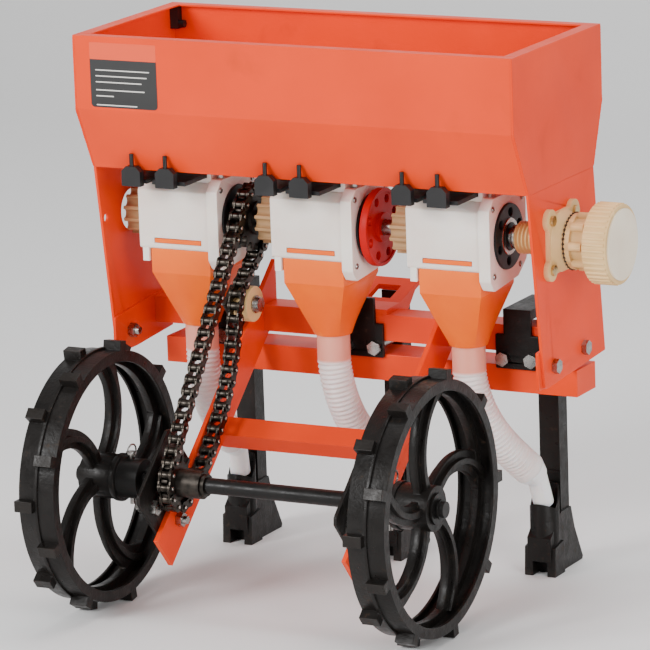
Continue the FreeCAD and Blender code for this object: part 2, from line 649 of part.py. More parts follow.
def rounded_path(points):
    """Straight runs joined by tangent arcs, each arc as large as its two runs allow."""
    edges = []
    radii = []
    start = points[0]
    for before, corner, after in zip(points, points[1:], points[2:]):
        back_run = (before - corner)
        next_run = (after - corner)
        shorter = min(back_run.Length, next_run.Length)
        back_dir = Vector(back_run).normalize()
        next_dir = Vector(next_run).normalize()
        turn = math.pi - back_dir.getAngle(next_dir)
        setback = 0.45 * shorter
        radius = setback / math.tan(turn / 2)
        radii.append(radius)
        enter = corner + back_dir * setback
        leave = corner + next_dir * setback
        inward = (back_dir + next_dir).normalize()
        middle = corner + inward * (radius / math.cos(turn / 2) - radius)
        edges.append(Part.LineSegment(start, enter).toShape())
        edges.append(Part.Arc(enter, middle, leave).toShape())
        start = leave
    edges.append(Part.LineSegment(start, points[-1]).toShape())
    return Part.Wire(edges), radii


def tube_along(points, radius):
    """A solid round tube along a rounded path; prints its bend radii and checks its volume."""
    path, radii = rounded_path(points)
    first = (points[1] - points[0]).normalize()
    section = Part.Wire(Part.makeCircle(radius, points[0], first))
    tube = path.makePipeShell([section], True, True)
    share = tube.Volume / (math.pi * radius ** 2 * path.Length)
    print("hose length %.1f radii %s volume/section*length %.3f" % (
        path.Length, [round(r) for r in radii], share))
    return tube, path


HOSE_ROUTES = {
    "left": ((0, 0, 253), (0, 0, 222), (-1, 4, 192), (-2, 16, 163), (-3, 38, 137), (-4, 62, 115)),
    "middle": ((0, 0, 253), (0, 0, 222), (3, 4, 192), (7, 16, 163), (11, 37, 137), (15, 61, 115)),
    "right": ((0, 0, 253), (0, 0, 222), (5, 4, 192), (14, 16, 163), (25, 35, 137), (35, 57, 115)),
}


def hoses():
    """Corrugated seed hoses from the funnels, and the smooth spouts that carry on into the opener boots."""
    spouts = []
    for k, side in enumerate(LEG_NAMES, -1):
        origin = Vector(D["unit_left"] + k * D["unit_pitch"] + 45, D["shaft_y"], 0)
        route = [origin + Vector(*p) for p in HOSE_ROUTES[side]]
        tube, path = tube_along(route, D["hose_r"])
        spigot = Part.makeCylinder(16.7, 27.2, Vector(origin.x, origin.y, FUNNEL_OUT - 27.2))
        node(coded("hose_" + side, tube.cut(spigot)), "seed_hose_" + side)

        end = route[-1]
        heading = (route[-1] - route[-2]).normalize()
        mouth = Vector(D["leg_x"] + k * D["leg_pitch"], D["leg_y"] - 17, 74)
        collar = Part.makeCone(17, 12.4, 14, end, heading)
        knee = end + heading * 14
        run = mouth - knee
        pipe = Part.makeCylinder(10.4, run.Length, knee - run.normalize() * 0.5, mouth - knee)
        spouts.append(coded("spout_" + side, collar.fuse(pipe).removeSplitter()))
    node(group("spout_set", *spouts), "hose_spouts")


# ---------------------------------------------------------------- wheels and axle

def spoke(turn, mirror):
    """One swirl spoke as a flat bar between two arcs, with a rib along it."""
    def at(radius, degrees):
        angle = turn + mirror * math.radians(degrees)
        return Vector(0, radius * math.cos(angle), radius * math.sin(angle))

    def blade(width_in, width_mid, width_out, thickness):
        lead = Part.Arc(at(17, 20 + width_in), at(68, 17 + width_mid), at(117, -6 + width_out)).toShape()
        trail = Part.Arc(at(17, 20 - width_in), at(68, 17 - width_mid), at(117, -6 - width_out)).toShape()
        cap = Part.makeLine(lead.Vertexes[-1].Point, trail.Vertexes[-1].Point)
        root = Part.makeLine(trail.Vertexes[0].Point, lead.Vertexes[0].Point)
        face = Part.Face(Part.Wire(Part.__sortEdges__([lead, cap, trail, root])))
        return face.extrude(Vector(thickness, 0, 0)).translate(Vector(-thickness / 2, 0, 0))

    return blade(38, 8.5, 10.5, 7).fuse(blade(14, 2.6, 3.2, 17))


def wheel(middle_x, mirror):
    radius = D["wheel_r"]
    width = D["wheel_w"]
    x_dir = Vector(1, 0, 0)
    rim = Part.makeCylinder(radius, width, Vector(-width / 2, 0, 0), x_dir).cut(
        Part.makeCylinder(radius - 5, width + 2, Vector(-width / 2 - 1, 0, 0), x_dir))
    def ring(outer, inner, start, length):
        return Part.makeCylinder(outer, length, Vector(start, 0, 0), x_dir).cut(
            Part.makeCylinder(inner, length + 2, Vector(start - 1, 0, 0), x_dir))

    hub = Part.makeCylinder(22.5, 35, Vector(-22 if mirror > 0 else -13, 0, 0), x_dir)
    parts = [hub, ring(radius - 2, radius - 14, -4, 8), ring(radius + 2.5, radius - 1, -2, 4),
             ring(radius - 2, radius - 11, -width / 2, 3), ring(radius - 2, radius - 11, width / 2 - 3, 3)]
    for i in range(5):
        parts.append(spoke(math.radians(72 * i + 80), mirror))
    lugs = 9
    for row_side, phase in ((-1, 0.0), (1, 0.5)):
        for i in range(lugs):
            angle = 360.0 * (i + phase) / lugs + 90
            low_x = -width / 2 if row_side < 0 else 0
            lug = Part.makeBox(width / 2, 11, D["lug"] + 4, Vector(low_x, -5.5, radius - 4))
            lug.rotate(ORIGIN, x_dir, angle)
            parts.append(lug)
    shape = rim.fuse(parts)
    bore = Part.makeCylinder(D["axle_r"], 60, Vector(-30, 0, 0), x_dir)
    shape = shape.cut(bore)
    shape.translate(Vector(middle_x, AXLE.y, AXLE.z))
    return shape.removeSplitter()


def wheels():
    for side, sign in (("left", -1), ("right", 1)):
        middle = D["drive_x"] + sign * D["wheel_half"]
        node(coded("wheel_" + side, wheel(middle, sign)), "press_wheel_" + side)


def sleeves():
    """The sleeves that drive the wheels from the axle, and the pins through them."""
    sleeve_parts = []
    pin_parts = []
    for side, sign in (("left", -1), ("right", 1)):
        low = "drive_x - wheel_half + 22" if sign < 0 else "drive_x + wheel_half - 51"
        tube = rod("sleeve_tube_" + side, (low, "axle_y", "axle_z"), "x", "20", "29")
        ring_x = low + (" + 23" if sign > 0 else "")
        ring = rod("sleeve_ring_" + side, (ring_x, "axle_y", "axle_z"), "x", "24", "6")
        hole = rod("sleeve_bore_" + side, (low + " - 1", "axle_y", "axle_z"), "x", "axle_r", "31")
        across = rod("sleeve_pin_hole_" + side, (low + " + 14", "axle_y", "axle_z - 30"), "z", "3", "60")
        sleeve_parts.append(cut("sleeve_" + side, fuse("sleeve_solid_" + side, tube, ring), hole, across))
        shank = rod("pin_shank_" + side, (low + " + 14", "axle_y", "axle_z - 26"), "z", "2.9", "50")
        head = rod("pin_head_" + side, (low + " + 14", "axle_y", "axle_z + 24"), "z", "5", "3")
        pin_parts.append(fuse("pin_" + side, shank, head))
    node(group("sleeve_pair", *sleeve_parts), "wheel_sleeves")
    node(group("pin_pair", *pin_parts), "wheel_pins")


def axle():
    bar = Part.makeCylinder(D["axle_r"], 404, Vector(D["drive_x"] - 202, AXLE.y, AXLE.z), Vector(1, 0, 0))
    for sign in (-1, 1):
        low = D["drive_x"] - D["wheel_half"] + 22 if sign < 0 else D["drive_x"] + D["wheel_half"] - 51
        bar = bar.cut(Part.makeCylinder(2.9, 60, Vector(low + 14, AXLE.y, AXLE.z - 30), Vector(0, 0, 1)))
        outer_face = D["drive_x"] + sign * (D["wheel_half"] + 13)
        for radius, start, thickness in ((15.5, 0, 2.5), (10, 4.5, 1.5)):
            low = outer_face + (start if sign > 0 else -start - thickness)
            bar = bar.fuse(Part.makeCylinder(radius, thickness, Vector(low, AXLE.y, AXLE.z), Vector(1, 0, 0)))
    node(coded("axle_bar", bar), "wheel_axle")


# ---------------------------------------------------------------- chain drive

UPPER_TEETH = 15
LOWER_TEETH = 12
ROLLER_R = 4.25
LINK_EYE = 5.6


def pitch_radius(teeth):
    return D["pitch"] / (2 * math.sin(math.pi / teeth))


def tangent(a, ra, b, rb, side):
    """Where a straight strand touches circle a and circle b, both on the same side of it."""
    span = b - a
    reach = span.Length
    along = Vector(span).normalize()
    square = Vector(0, -along.z, along.y) * side
    lean = (ra - rb) / reach
    normal = along * lean + square * math.sqrt(1 - lean * lean)
    return a + normal * ra, b + normal * rb


def cross_tangent(a, ra, b, rb, side):
    """Where a strand crosses from one side of circle a to the other side of circle b."""
    span = b - a
    along = Vector(span).normalize()
    square = Vector(0, -along.z, along.y) * side
    lean = (ra + rb) / span.Length
    normal = along * lean + square * math.sqrt(1 - lean * lean)
    return a + normal * ra, b - normal * rb


def turn_of(centre, point):
    return math.atan2(point.z - centre.z, point.y - centre.y)


class Strand:
    """A straight run of the chain's pitch line."""

    def __init__(self, start, end):
        self.start = start
        self.step = (end - start).normalize()
        self.length = (end - start).Length

    def at(self, along):
        return self.start + self.step * along


class Wrap:
    """The pitch line round a wheel, from start to end."""

    def __init__(self, centre, start, end, clockwise):
        self.centre = centre
        self.radius = (start - centre).Length
        self.begin = turn_of(centre, start)
        sweep = (turn_of(centre, end) - self.begin) % (2 * math.pi)
        self.way = -1 if clockwise else 1
        self.length = self.radius * (2 * math.pi - sweep if clockwise else sweep)

    def at(self, along):
        angle = self.begin + self.way * along / self.radius
        return self.centre + Vector(0, self.radius * math.cos(angle), self.radius * math.sin(angle))


IDLER_R = 18
IDLER = Vector(0, D["front_y"] + 78, 281)
LINKS = 60


def bow(radius):
    """The centre of the slack rear strand, which hugs the axle sprocket and leans on the idler."""
    near = radius - pitch_radius(LOWER_TEETH)
    far = radius + IDLER_R + LINK_EYE + 0.4
    span = IDLER - AXLE
    reach = span.Length
    along = (near ** 2 - far ** 2 + reach ** 2) / (2 * reach)
    square = Vector(0, -span.z, span.y).normalize()
    return AXLE + Vector(span).normalize() * along + square * math.sqrt(near ** 2 - along ** 2)


def chain_loop(radius):
    """Down the front strand, round the axle sprocket, up the bowed rear strand, over the idler and back."""
    upper_r = pitch_radius(UPPER_TEETH)
    lower_r = pitch_radius(LOWER_TEETH)
    idler_r = IDLER_R + LINK_EYE + 0.4
    centre = bow(radius)
    front_top, front_low = tangent(SHAFT, upper_r, AXLE, lower_r, -1)
    idler_top, rear_top = cross_tangent(IDLER, idler_r, SHAFT, upper_r, 1)
    rear_low = AXLE + (AXLE - centre).normalize() * lower_r
    idler_low = IDLER + (centre - IDLER).normalize() * idler_r
    return [
        Strand(front_top, front_low),
        Wrap(AXLE, front_low, rear_low, False),
        Wrap(centre, rear_low, idler_low, False),
        Wrap(IDLER, idler_low, idler_top, True),
        Strand(idler_top, rear_top),
        Wrap(SHAFT, rear_top, front_top, False),
    ]


def point_on(loop, along):
    for piece in loop:
        if along <= piece.length:
            return piece.at(along)
        along -= piece.length
    return loop[0].at(along)


def walk(loop):
    """Pins one straight pitch apart, and how far along the loop the last step ends."""
    along = 0.0
    pins = []
    for _ in range(LINKS):
        pin = point_on(loop, along)
        pins.append(pin)
        low = along + D["pitch"]
        high = low + 1.0
        for _ in range(30):
            middle = (low + high) / 2
            if (point_on(loop, middle) - pin).Length < D["pitch"]:
                low = middle
            else:
                high = middle
        along = low
    return pins, along


def chain_pins():
    """Tighten or slacken the rear strand's bow until the chain closes on a whole number of links."""
    low = 150.0
    high = 4000.0
    for _ in range(30):
        radius = (low * high) ** 0.5
        loop = chain_loop(radius)
        pins, end = walk(loop)
        if sum(piece.length for piece in loop) > end:
            low = radius
        else:
            high = radius
    return pins


PINS = chain_pins()


def link_plate(a, b, x_low, thickness):
    """A waisted link plate between two pins."""
    along = (b - a).normalize()
    square = Vector(0, -along.z, along.y)
    eye = LINK_EYE
    waist = 4.1
    middle = (a + b) * 0.5
    reach = 3.4
    points = [
        (a + square * eye), (a + along * reach + square * 4.6), (middle + square * waist),
        (b - along * reach + square * 4.6), (b + square * eye),
    ]
    mirror = [p - square * 2 * ((p - a) * square) for p in reversed(points)]
    wire = Part.makePolygon([Vector(x_low, p.y, p.z) for p in points + mirror + points[:1]])
    flat = Part.Face(wire).extrude(Vector(thickness, 0, 0))
    ends = [Part.makeCylinder(eye, thickness, Vector(x_low, p.y, p.z), Vector(1, 0, 0)) for p in (a, b)]
    return flat.fuse(ends)


def chain():
    """Inner links carry the rollers; outer links carry the pins that run inside them."""
    inner = []
    outer = []
    chain_x = D["chain_x"]
    for i, start in enumerate(PINS):
        end = PINS[(i + 1) % LINKS]
        if i % 2 == 0:
            link = link_plate(start, end, chain_x + 3.9, 1.5).fuse([
                link_plate(start, end, chain_x - 5.4, 1.5),
                bar_x(chain_x - 4, start, ROLLER_R, 8), bar_x(chain_x - 4, end, ROLLER_R, 8)])
            for pin in (start, end):
                link = link.cut(bar_x(chain_x - 9, pin, 2.3, 18))
            inner.append(link)
        else:
            link = link_plate(start, end, chain_x + 5.5, 1.5).fuse([
                link_plate(start, end, chain_x - 7.0, 1.5),
                bar_x(chain_x - 8.2, start, 2.2, 16.4), bar_x(chain_x - 8.2, end, 2.2, 16.4)])
            outer.append(link)
    node(coded("inner_links", Part.makeCompound(inner)), "chain_inner_links")
    node(coded("outer_links", Part.makeCompound(outer)), "chain_outer_links")


def nearest_angle(centre, teeth):
    """The angle of a chain pin that is seated on a sprocket."""
    pin = min(PINS, key=lambda p: abs((p - centre).Length - pitch_radius(teeth)))
    return turn_of(centre, pin)


def sprocket(centre, teeth, thickness):
    """Teeth left between roller seats, thinned at the tips."""
    radius = pitch_radius(teeth)
    disc = Part.makeCylinder(radius + 3.4, thickness, Vector(-thickness / 2, 0, 0), Vector(1, 0, 0))
    phase = nearest_angle(centre, teeth)
    seat = ROLLER_R + 0.45
    for offset in ring_points(teeth, radius, phase):
        round_seat = Part.makeCylinder(seat, 20, Vector(-10, offset.y, offset.z), Vector(1, 0, 0))
        out = Vector(offset).normalize()
        side = Vector(0, -out.z, out.y)
        seat_at = Vector(-10, 0, 0) + offset
        corners = [seat_at + side * seat, seat_at + out * 9 + side * (seat + 3.4),
                   seat_at + out * 9 - side * (seat + 3.4), seat_at - side * seat]
        mouth = Part.makePolygon(corners + corners[:1])
        disc = disc.cut(round_seat.fuse(Part.Face(mouth).extrude(Vector(20, 0, 0))))
    disc.translate(Vector(D["chain_x"], centre.y, centre.z))
    return disc


def sprockets():
    upper = sprocket(SHAFT, UPPER_TEETH, 6.5)
    hub = Part.makeCylinder(17, 20, Vector(D["chain_x"] - 13.5, SHAFT.y, SHAFT.z), Vector(1, 0, 0))
    bore = Part.makeCylinder(D["shaft_r"] + D["running"], 40, Vector(D["chain_x"] - 20, SHAFT.y, SHAFT.z),
                             Vector(1, 0, 0))
    node(coded("upper_sprocket_body", upper.fuse(hub).cut(bore).removeSplitter()), "feed_sprocket")

    lower = sprocket(AXLE, LOWER_TEETH, 6.5)
    hub = Part.makeCylinder(14, 30, Vector(D["chain_x"], AXLE.y, AXLE.z), Vector(1, 0, 0))
    collar = Part.makeCylinder(11, 4, Vector(D["chain_x"] + 30, AXLE.y, AXLE.z), Vector(1, 0, 0))
    bore = Part.makeCylinder(D["axle_r"], 60, Vector(D["chain_x"] - 20, AXLE.y, AXLE.z), Vector(1, 0, 0))
    node(coded("lower_sprocket_body", lower.fuse([hub, collar]).cut(bore).removeSplitter()), "axle_sprocket")


def tensioner():
    """A plastic idler on a bolt, held by a small bracket on the left arm."""
    x_dir = Vector(1, 0, 0)
    low = D["chain_x"] - 7
    roller = Part.makeCylinder(IDLER_R, 16, Vector(low, IDLER.y, IDLER.z), x_dir).cut(
        Part.makeCylinder(5 + D["running"], 20, Vector(low - 1, IDLER.y, IDLER.z), x_dir))
    node(coded("idler", roller), "chain_idler")
    arm_x = arm_faces()["left"][0]
    bolt = Part.makeCylinder(5, low + 16 - arm_x + 16, Vector(arm_x - 12, IDLER.y, IDLER.z), x_dir)
    washer = Part.makeCylinder(9, 1.6, Vector(low + 16.3, IDLER.y, IDLER.z), x_dir)
    nut = Part.makeCylinder(7.5, 5, Vector(low + 17.9, IDLER.y, IDLER.z), x_dir)
    node(coded("idler_bolt_set", bolt.fuse([washer, nut]).removeSplitter()), "idler_bolt")
    foot = arm_point(0, 0)
    tilt = math.radians(D["arm_tilt"])
    reach = IDLER - foot
    along = reach.y * math.cos(tilt) + reach.z * math.sin(tilt)
    across = -reach.y * math.sin(tilt) + reach.z * math.cos(tilt)
    tab = slab_x([arm_point(along - 13, across + 13), arm_point(along + 13, across + 13),
                  arm_point(along + 16, ARM_EDGE - 18), arm_point(along - 16, ARM_EDGE - 18)], arm_x - 4, 4)
    tab = tab.cut(bar_x(arm_x - 6, IDLER, 5.05, 10))
    node(coded("idler_tab", tab), "idler_bracket")


# ---------------------------------------------------------------- adjuster

def adjuster():
    face = "mid_x + hopper_len/2"
    at = ("shaft_y", "shaft_z")
    lobes = [box("lobe_web", (face, "shaft_y - ear_y - 5", "shaft_z - ear_z - 5"),
                 ("5", "2*ear_y + 10", "2*ear_z + 10"))]
    screws = []
    for i, (sy, sz) in enumerate((("-", "-"), ("-", "+"), ("+", "-"), ("+", "+"))):
        ear = ("shaft_y %s ear_y" % sy, "shaft_z %s ear_z" % sz)
        lobes.append(rod("lobe_%d" % i, (face,) + ear, "x", "11", "5"))
        screws.append(rod("flange_hole_%d" % i, (face + " - 1",) + ear, "x", "3.2", "30"))
    dome = cone("flange_dome", (face + " + 4",) + at, "x", "31", "25.5", "11")
    bore = rod("flange_bore", (face + " - 1",) + at, "x", "16.9", "30")
    node(cut("flange_part", fuse("flange_solid", dome, *lobes), bore, *screws), "adjuster_flange")

    x_face = D["mid_x"] + D["hopper_len"] / 2
    x_dir = Vector(1, 0, 0)
    start = x_face - 43
    core = Part.makeCylinder(13.6, 84, Vector(start, SHAFT.y, SHAFT.z), x_dir)
    ridges = []
    for i in range(20):
        low = Vector(start + 1 + 4 * i, SHAFT.y, SHAFT.z)
        ridges.append(Part.makeCone(13.6, 16.3, 1.5, low, x_dir))
        ridges.append(Part.makeCone(16.3, 13.6, 1.5, low + Vector(1.5, 0, 0), x_dir))
    hollow = Part.makeCylinder(9.5, 60, Vector(start - 1, SHAFT.y, SHAFT.z), x_dir)
    node(coded("screw", core.fuse(ridges).cut(hollow)), "adjuster_screw")

    ring = Part.makeCylinder(27.5, 5, Vector(x_face + 17, SHAFT.y, SHAFT.z), x_dir)
    star = Part.makeCylinder(24, 13, Vector(x_face + 22, SHAFT.y, SHAFT.z), x_dir)
    for offset in ring_points(8, 24.5):
        star = star.fuse(Part.makeCylinder(4.6, 13, Vector(x_face + 22, SHAFT.y, SHAFT.z) + offset, x_dir))
    hole = Part.makeCylinder(16.9, 30, Vector(x_face + 10, SHAFT.y, SHAFT.z), x_dir)
    node(coded("lock", ring.fuse(star).cut(hole).removeSplitter()), "lock_nut")

    knob = Part.makeCylinder(39, 25, Vector(x_face + 41, SHAFT.y, SHAFT.z), x_dir)
    for offset in ring_points(40, 38.7):
        knob = knob.fuse(Part.makeCylinder(1.6, 22, Vector(x_face + 42, SHAFT.y, SHAFT.z) + offset, x_dir))
    recess = Part.makeCylinder(35.2, 4, Vector(x_face + 64, SHAFT.y, SHAFT.z), x_dir)
    node(coded("knob_body", knob.cut(recess).removeSplitter()), "adjuster_knob")
    node(rod("cap", (face + " + 64",) + at, "x", "35", "4"), "knob_cap")


# ---------------------------------------------------------------- fasteners

def hexagon(start, axis, across, height):
    """A hexagonal bolt head or nut."""
    side = axis.cross(Vector(0.3, 0.5, 0.8)).normalize()
    other = axis.cross(side).normalize()
    points = []
    for i in range(6):
        angle = math.pi / 3 * i
        points.append(start + (side * math.cos(angle) + other * math.sin(angle)) * (across / math.sqrt(3)))
    return Part.Face(Part.makePolygon(points + points[:1])).extrude(axis * height)


def bolt(start, axis, length, shank_r=4.0, across=13.0):
    """A hex bolt with its nut: the head just outside start, the nut just outside the far face."""
    head = hexagon(start - axis * 5.6, axis, across, 5.5)
    shank = Part.makeCylinder(shank_r, length + 12, start - axis * 1, axis)
    nut = hexagon(start + axis * (length + 0.1), axis, across, 6.5)
    return head.fuse([shank, nut]).removeSplitter()


def cap_screw(start, axis, length):
    """A hex-headed screw into a tapped end, with no nut."""
    head = hexagon(start - axis * 5.6, axis, 13.0, 5.5)
    return head.fuse(Part.makeCylinder(3.9, length + 1, start - axis * 1, axis)).removeSplitter()


def fasteners():
    x_dir = Vector(1, 0, 0)
    y_dir = Vector(0, 1, 0)
    bolts = []
    left = D["mid_x"] - D["hopper_len"] / 2
    right = D["mid_x"] + D["hopper_len"] / 2
    for offset, height in ((80, 243), (150, 246)):
        for start, inward in ((left, x_dir), (right, -x_dir)):
            point = Vector(start, D["front_y"] + offset, height)
            if offset == 80:
                bolts.append(bolt(point, inward, 2 * D["plate"], 3.9))
            else:
                bolts.append(cap_screw(point, inward, 2 * D["plate"] + 10))
    for k in (-1, 0, 1):
        middle = D["leg_x"] + k * D["leg_pitch"]
        for out in (-float(BOLT_OUT), float(BOLT_OUT)):
            start = Vector(middle + out, D["beam_y"] - 4.2, float(BOLT_UP))
            bolts.append(bolt(start, y_dir, D["leg_y"] + D["leg_d"] + 6.2 - start.y, 3.9))
    for side, (arm_x, plate_x) in arm_faces().items():
        low = min(arm_x, plate_x)
        for along, across in ARM_BOLTS:
            point = arm_point(along, across)
            bolts.append(bolt(Vector(low, point.y, point.z), x_dir, D["arm_t"] + 4, 4.0))
        inner_x, outward = (plate_x + 4, -x_dir) if side == "left" else (plate_x, x_dir)
        for along, across in PLATE_BOLTS:
            point = arm_point(along, across)
            bolts.append(bolt(Vector(inner_x, point.y, point.z), outward, 7, 4.0))
    node(coded("bolts", Part.makeCompound(bolts)), "zinc_bolts")

    face = right + 5
    screws = []
    for ear_y in (-D["ear_y"], D["ear_y"]):
        for ear_z in (-D["ear_z"], D["ear_z"]):
            start = Vector(face, D["shaft_y"] + ear_y, D["shaft_z"] + ear_z)
            screws.append(Part.makeCylinder(5.2, 3, start, x_dir).fuse(
                Part.makeCylinder(3.0, 14, start - x_dir * 13, x_dir)))
    node(coded("flange_screws", Part.makeCompound(screws)), "flange_screw_set")


hopper()
side_plates()
beams()
arms()
bearings()
openers()
clamps()
housings()
rollers()
discs()
shutters()
funnels()
hoses()
wheels()
sleeves()
axle()
chain()
sprockets()
tensioner()
adjuster()
fasteners()
doc.recompute()

# ---------------------------------------------------------------- checks and export

for item in doc.Objects:
    if "Invalid" in item.State or "Error" in item.State:
        raise RuntimeError("%s failed: %s" % (item.Name, item.State))
os.makedirs("parts", exist_ok=True)
for item in nodes:
    if item.Shape.isNull() or not item.Shape.isValid() or not item.Shape.Solids:
        raise RuntimeError("%s has no valid solid" % item.Label)
for item in nodes:
    item.Shape.exportStep("parts/%s.step" % item.Label)
bounds = FreeCAD.BoundBox()
for item in nodes:
    bounds.add(item.Shape.BoundBox)
print("nodes", len(nodes), "links", LINKS, "idler", round(IDLER.y, 2), round(IDLER.z, 2))
print("box x %.2f %.2f y %.2f %.2f z %.2f %.2f" % (
    bounds.XMin, bounds.XMax, bounds.YMin, bounds.YMax, bounds.ZMin, bounds.ZMax))
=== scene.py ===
"""Looks of the push seeder: materials, hoses, label, weld beads, small fasteners, light and camera."""

import json
import math
import random

import bmesh
import bpy
from mathutils import Matrix, Vector, noise


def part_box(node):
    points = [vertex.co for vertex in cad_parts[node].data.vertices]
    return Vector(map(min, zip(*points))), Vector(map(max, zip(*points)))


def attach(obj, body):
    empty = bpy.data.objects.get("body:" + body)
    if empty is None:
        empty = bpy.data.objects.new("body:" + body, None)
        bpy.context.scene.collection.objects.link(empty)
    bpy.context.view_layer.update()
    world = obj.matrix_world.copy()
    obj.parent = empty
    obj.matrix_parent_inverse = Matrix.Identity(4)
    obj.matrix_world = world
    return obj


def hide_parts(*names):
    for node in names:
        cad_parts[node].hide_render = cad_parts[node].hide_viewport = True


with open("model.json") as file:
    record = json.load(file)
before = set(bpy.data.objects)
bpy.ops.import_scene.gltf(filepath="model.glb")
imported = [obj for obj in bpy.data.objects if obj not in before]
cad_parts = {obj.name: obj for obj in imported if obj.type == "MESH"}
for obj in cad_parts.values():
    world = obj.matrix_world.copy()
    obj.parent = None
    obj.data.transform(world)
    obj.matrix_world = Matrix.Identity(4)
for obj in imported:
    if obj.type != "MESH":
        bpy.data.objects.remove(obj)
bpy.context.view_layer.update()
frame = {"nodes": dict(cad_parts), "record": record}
scene = bpy.context.scene
NODES = frame["nodes"]
MM = 0.001
X = Vector((1, 0, 0))
Z = Vector((0, 0, 1))


# ---------------------------------------------------------------- materials

def new_material(name):
    material = bpy.data.materials.new(name)
    material.use_nodes = True
    tree = material.node_tree
    shader = tree.nodes["Principled BSDF"]
    return material, tree, shader


def texture(tree, kind, scale, detail=4.0, stretch=(1, 1, 1), **settings):
    """A procedural texture on object coordinates, in metres."""
    coords = tree.nodes.new("ShaderNodeTexCoord")
    mapping = tree.nodes.new("ShaderNodeMapping")
    mapping.inputs["Scale"].default_value = stretch
    tree.links.new(coords.outputs["Object"], mapping.inputs["Vector"])
    node = tree.nodes.new("ShaderNodeTex" + kind)
    node.inputs["Scale"].default_value = scale
    if "Detail" in node.inputs:
        node.inputs["Detail"].default_value = detail
    for key, value in settings.items():
        node.inputs[key].default_value = value
    tree.links.new(mapping.outputs["Vector"], node.inputs["Vector"])
    return node


def ramp(tree, source, stops):
    """A colour ramp over a texture; stops are (position, colour)."""
    node = tree.nodes.new("ShaderNodeValToRGB")
    elements = node.color_ramp.elements
    while len(elements) < len(stops):
        elements.new(0.5)
    for element, (position, colour) in zip(elements, stops):
        element.position = position
        element.color = (*colour, 1) if len(colour) == 3 else colour
    tree.links.new(source, node.inputs["Fac"])
    return node


def grey(value):
    return (value, value, value)


def mix(tree, factor, first, second):
    """Blend two colours; each input is a socket, a colour or a number."""
    node = tree.nodes.new("ShaderNodeMix")
    node.data_type = "RGBA"
    for name, value in (("Factor", factor), ("A", first), ("B", second)):
        socket = node.inputs[name]
        if hasattr(value, "links"):
            tree.links.new(value, socket)
        elif isinstance(value, tuple):
            socket.default_value = (*value, 1)
        else:
            socket.default_value = value
    return node.outputs["Result"]


def bump(tree, shader, sources, distance=0.0004, strength=0.5):
    """Chain bump nodes, one for each (height socket, strength)."""
    last = None
    for height, weight in sources:
        node = tree.nodes.new("ShaderNodeBump")
        node.inputs["Distance"].default_value = distance
        node.inputs["Strength"].default_value = strength * weight
        tree.links.new(height, node.inputs["Height"])
        if last is not None:
            tree.links.new(last, node.inputs["Normal"])
        last = node.outputs["Normal"]
    tree.links.new(last, shader.inputs["Normal"])


def edge_highlight_mask(tree, low=0.52, high=0.62):
    """White along convex edges, from the mesh's pointiness: the mask for a painted highlight along the
    edges.
    """
    geometry = tree.nodes.new("ShaderNodeNewGeometry")
    return ramp(tree, geometry.outputs["Pointiness"], ((low, grey(0)), (high, grey(1)))).outputs["Color"]


def orange_paint():
    material, tree, shader = new_material("orange_paint")
    tone = texture(tree, "Noise", 9, 3)
    base = ramp(tree, tone.outputs["Fac"], ((0.3, (0.80, 0.040, 0.0010)), (0.7, (0.93, 0.053, 0.0014))))
    # painted sheen: lighter orange streaks stand in for the paint's glossy highlights in places
    sheen_streaks = texture(tree, "Noise", 38, 8, stretch=(0.35, 1.2, 1.6), Roughness=0.75)
    sheen_mask = ramp(tree, sheen_streaks.outputs["Fac"], ((0.68, grey(0)), (0.74, grey(1))))
    grime = texture(tree, "Noise", 14, 6, Distortion=0.6)
    dirty = ramp(tree, grime.outputs["Fac"], ((0.6, grey(0)), (0.85, grey(0.28))))
    colour = mix(tree, dirty.outputs["Color"], base.outputs["Color"], (0.30, 0.03, 0.006))
    light = mix(tree, 0.2, colour, (1.0, 0.34, 0.16))
    colour = mix(tree, sheen_mask.outputs["Color"], colour, light)
    # painted highlight: a paler orange along convex edges
    colour = mix(tree, edge_highlight_mask(tree, 0.55, 0.7), colour, (0.72, 0.12, 0.05))
    tree.links.new(colour, shader.inputs["Base Color"])
    gloss = ramp(tree, grime.outputs["Fac"], ((0.3, grey(0.3)), (0.8, grey(0.46))))
    tree.links.new(gloss.outputs["Color"], shader.inputs["Roughness"])
    shader.inputs["Specular IOR Level"].default_value = 0.13
    peel = texture(tree, "Noise", 420, 2)
    waves = texture(tree, "Noise", 7, 2)
    bump(tree, shader, ((peel.outputs["Fac"], 0.16), (waves.outputs["Fac"], 1.0)), 0.0016, 0.35)
    shader.inputs["Coat Weight"].default_value = 0.03
    shader.inputs["Coat Roughness"].default_value = 0.12
    return material


def moulded(name, dark, light, roughness, grain=900, grain_height=0.25, subsurface=0.0,
            coat=0.0, specular=0.3):
    """Moulded plastic: slightly mottled colour, fine skin grain."""
    material, tree, shader = new_material(name)
    tone = texture(tree, "Noise", 22, 5, Distortion=0.3)
    base = ramp(tree, tone.outputs["Fac"], ((0.3, dark), (0.7, light)))
    # painted highlight: a lighter tone of the plastic along convex edges
    colour = mix(tree, edge_highlight_mask(tree), base.outputs["Color"], tuple(min(1, c * 1.12 + 0.01) for c in light))
    tree.links.new(colour, shader.inputs["Base Color"])
    worn = texture(tree, "Noise", 60, 5)
    smooth, dull = grey(roughness * 0.85), grey(min(1, roughness * 1.2))
    rough = ramp(tree, worn.outputs["Fac"], ((0.3, smooth), (0.7, dull)))
    tree.links.new(rough.outputs["Color"], shader.inputs["Roughness"])
    skin = texture(tree, "Noise", grain, 3)
    ripple = texture(tree, "Noise", 40, 2)
    bump(tree, shader, ((skin.outputs["Fac"], grain_height), (ripple.outputs["Fac"], 0.35)), 0.0005, 0.5)
    shader.inputs["Subsurface Weight"].default_value = subsurface
    shader.inputs["Subsurface Scale"].default_value = 0.004
    shader.inputs["Subsurface Radius"].default_value = (1.0, 0.6, 0.4)
    shader.inputs["Coat Weight"].default_value = coat
    shader.inputs["Specular IOR Level"].default_value = specular
    return material


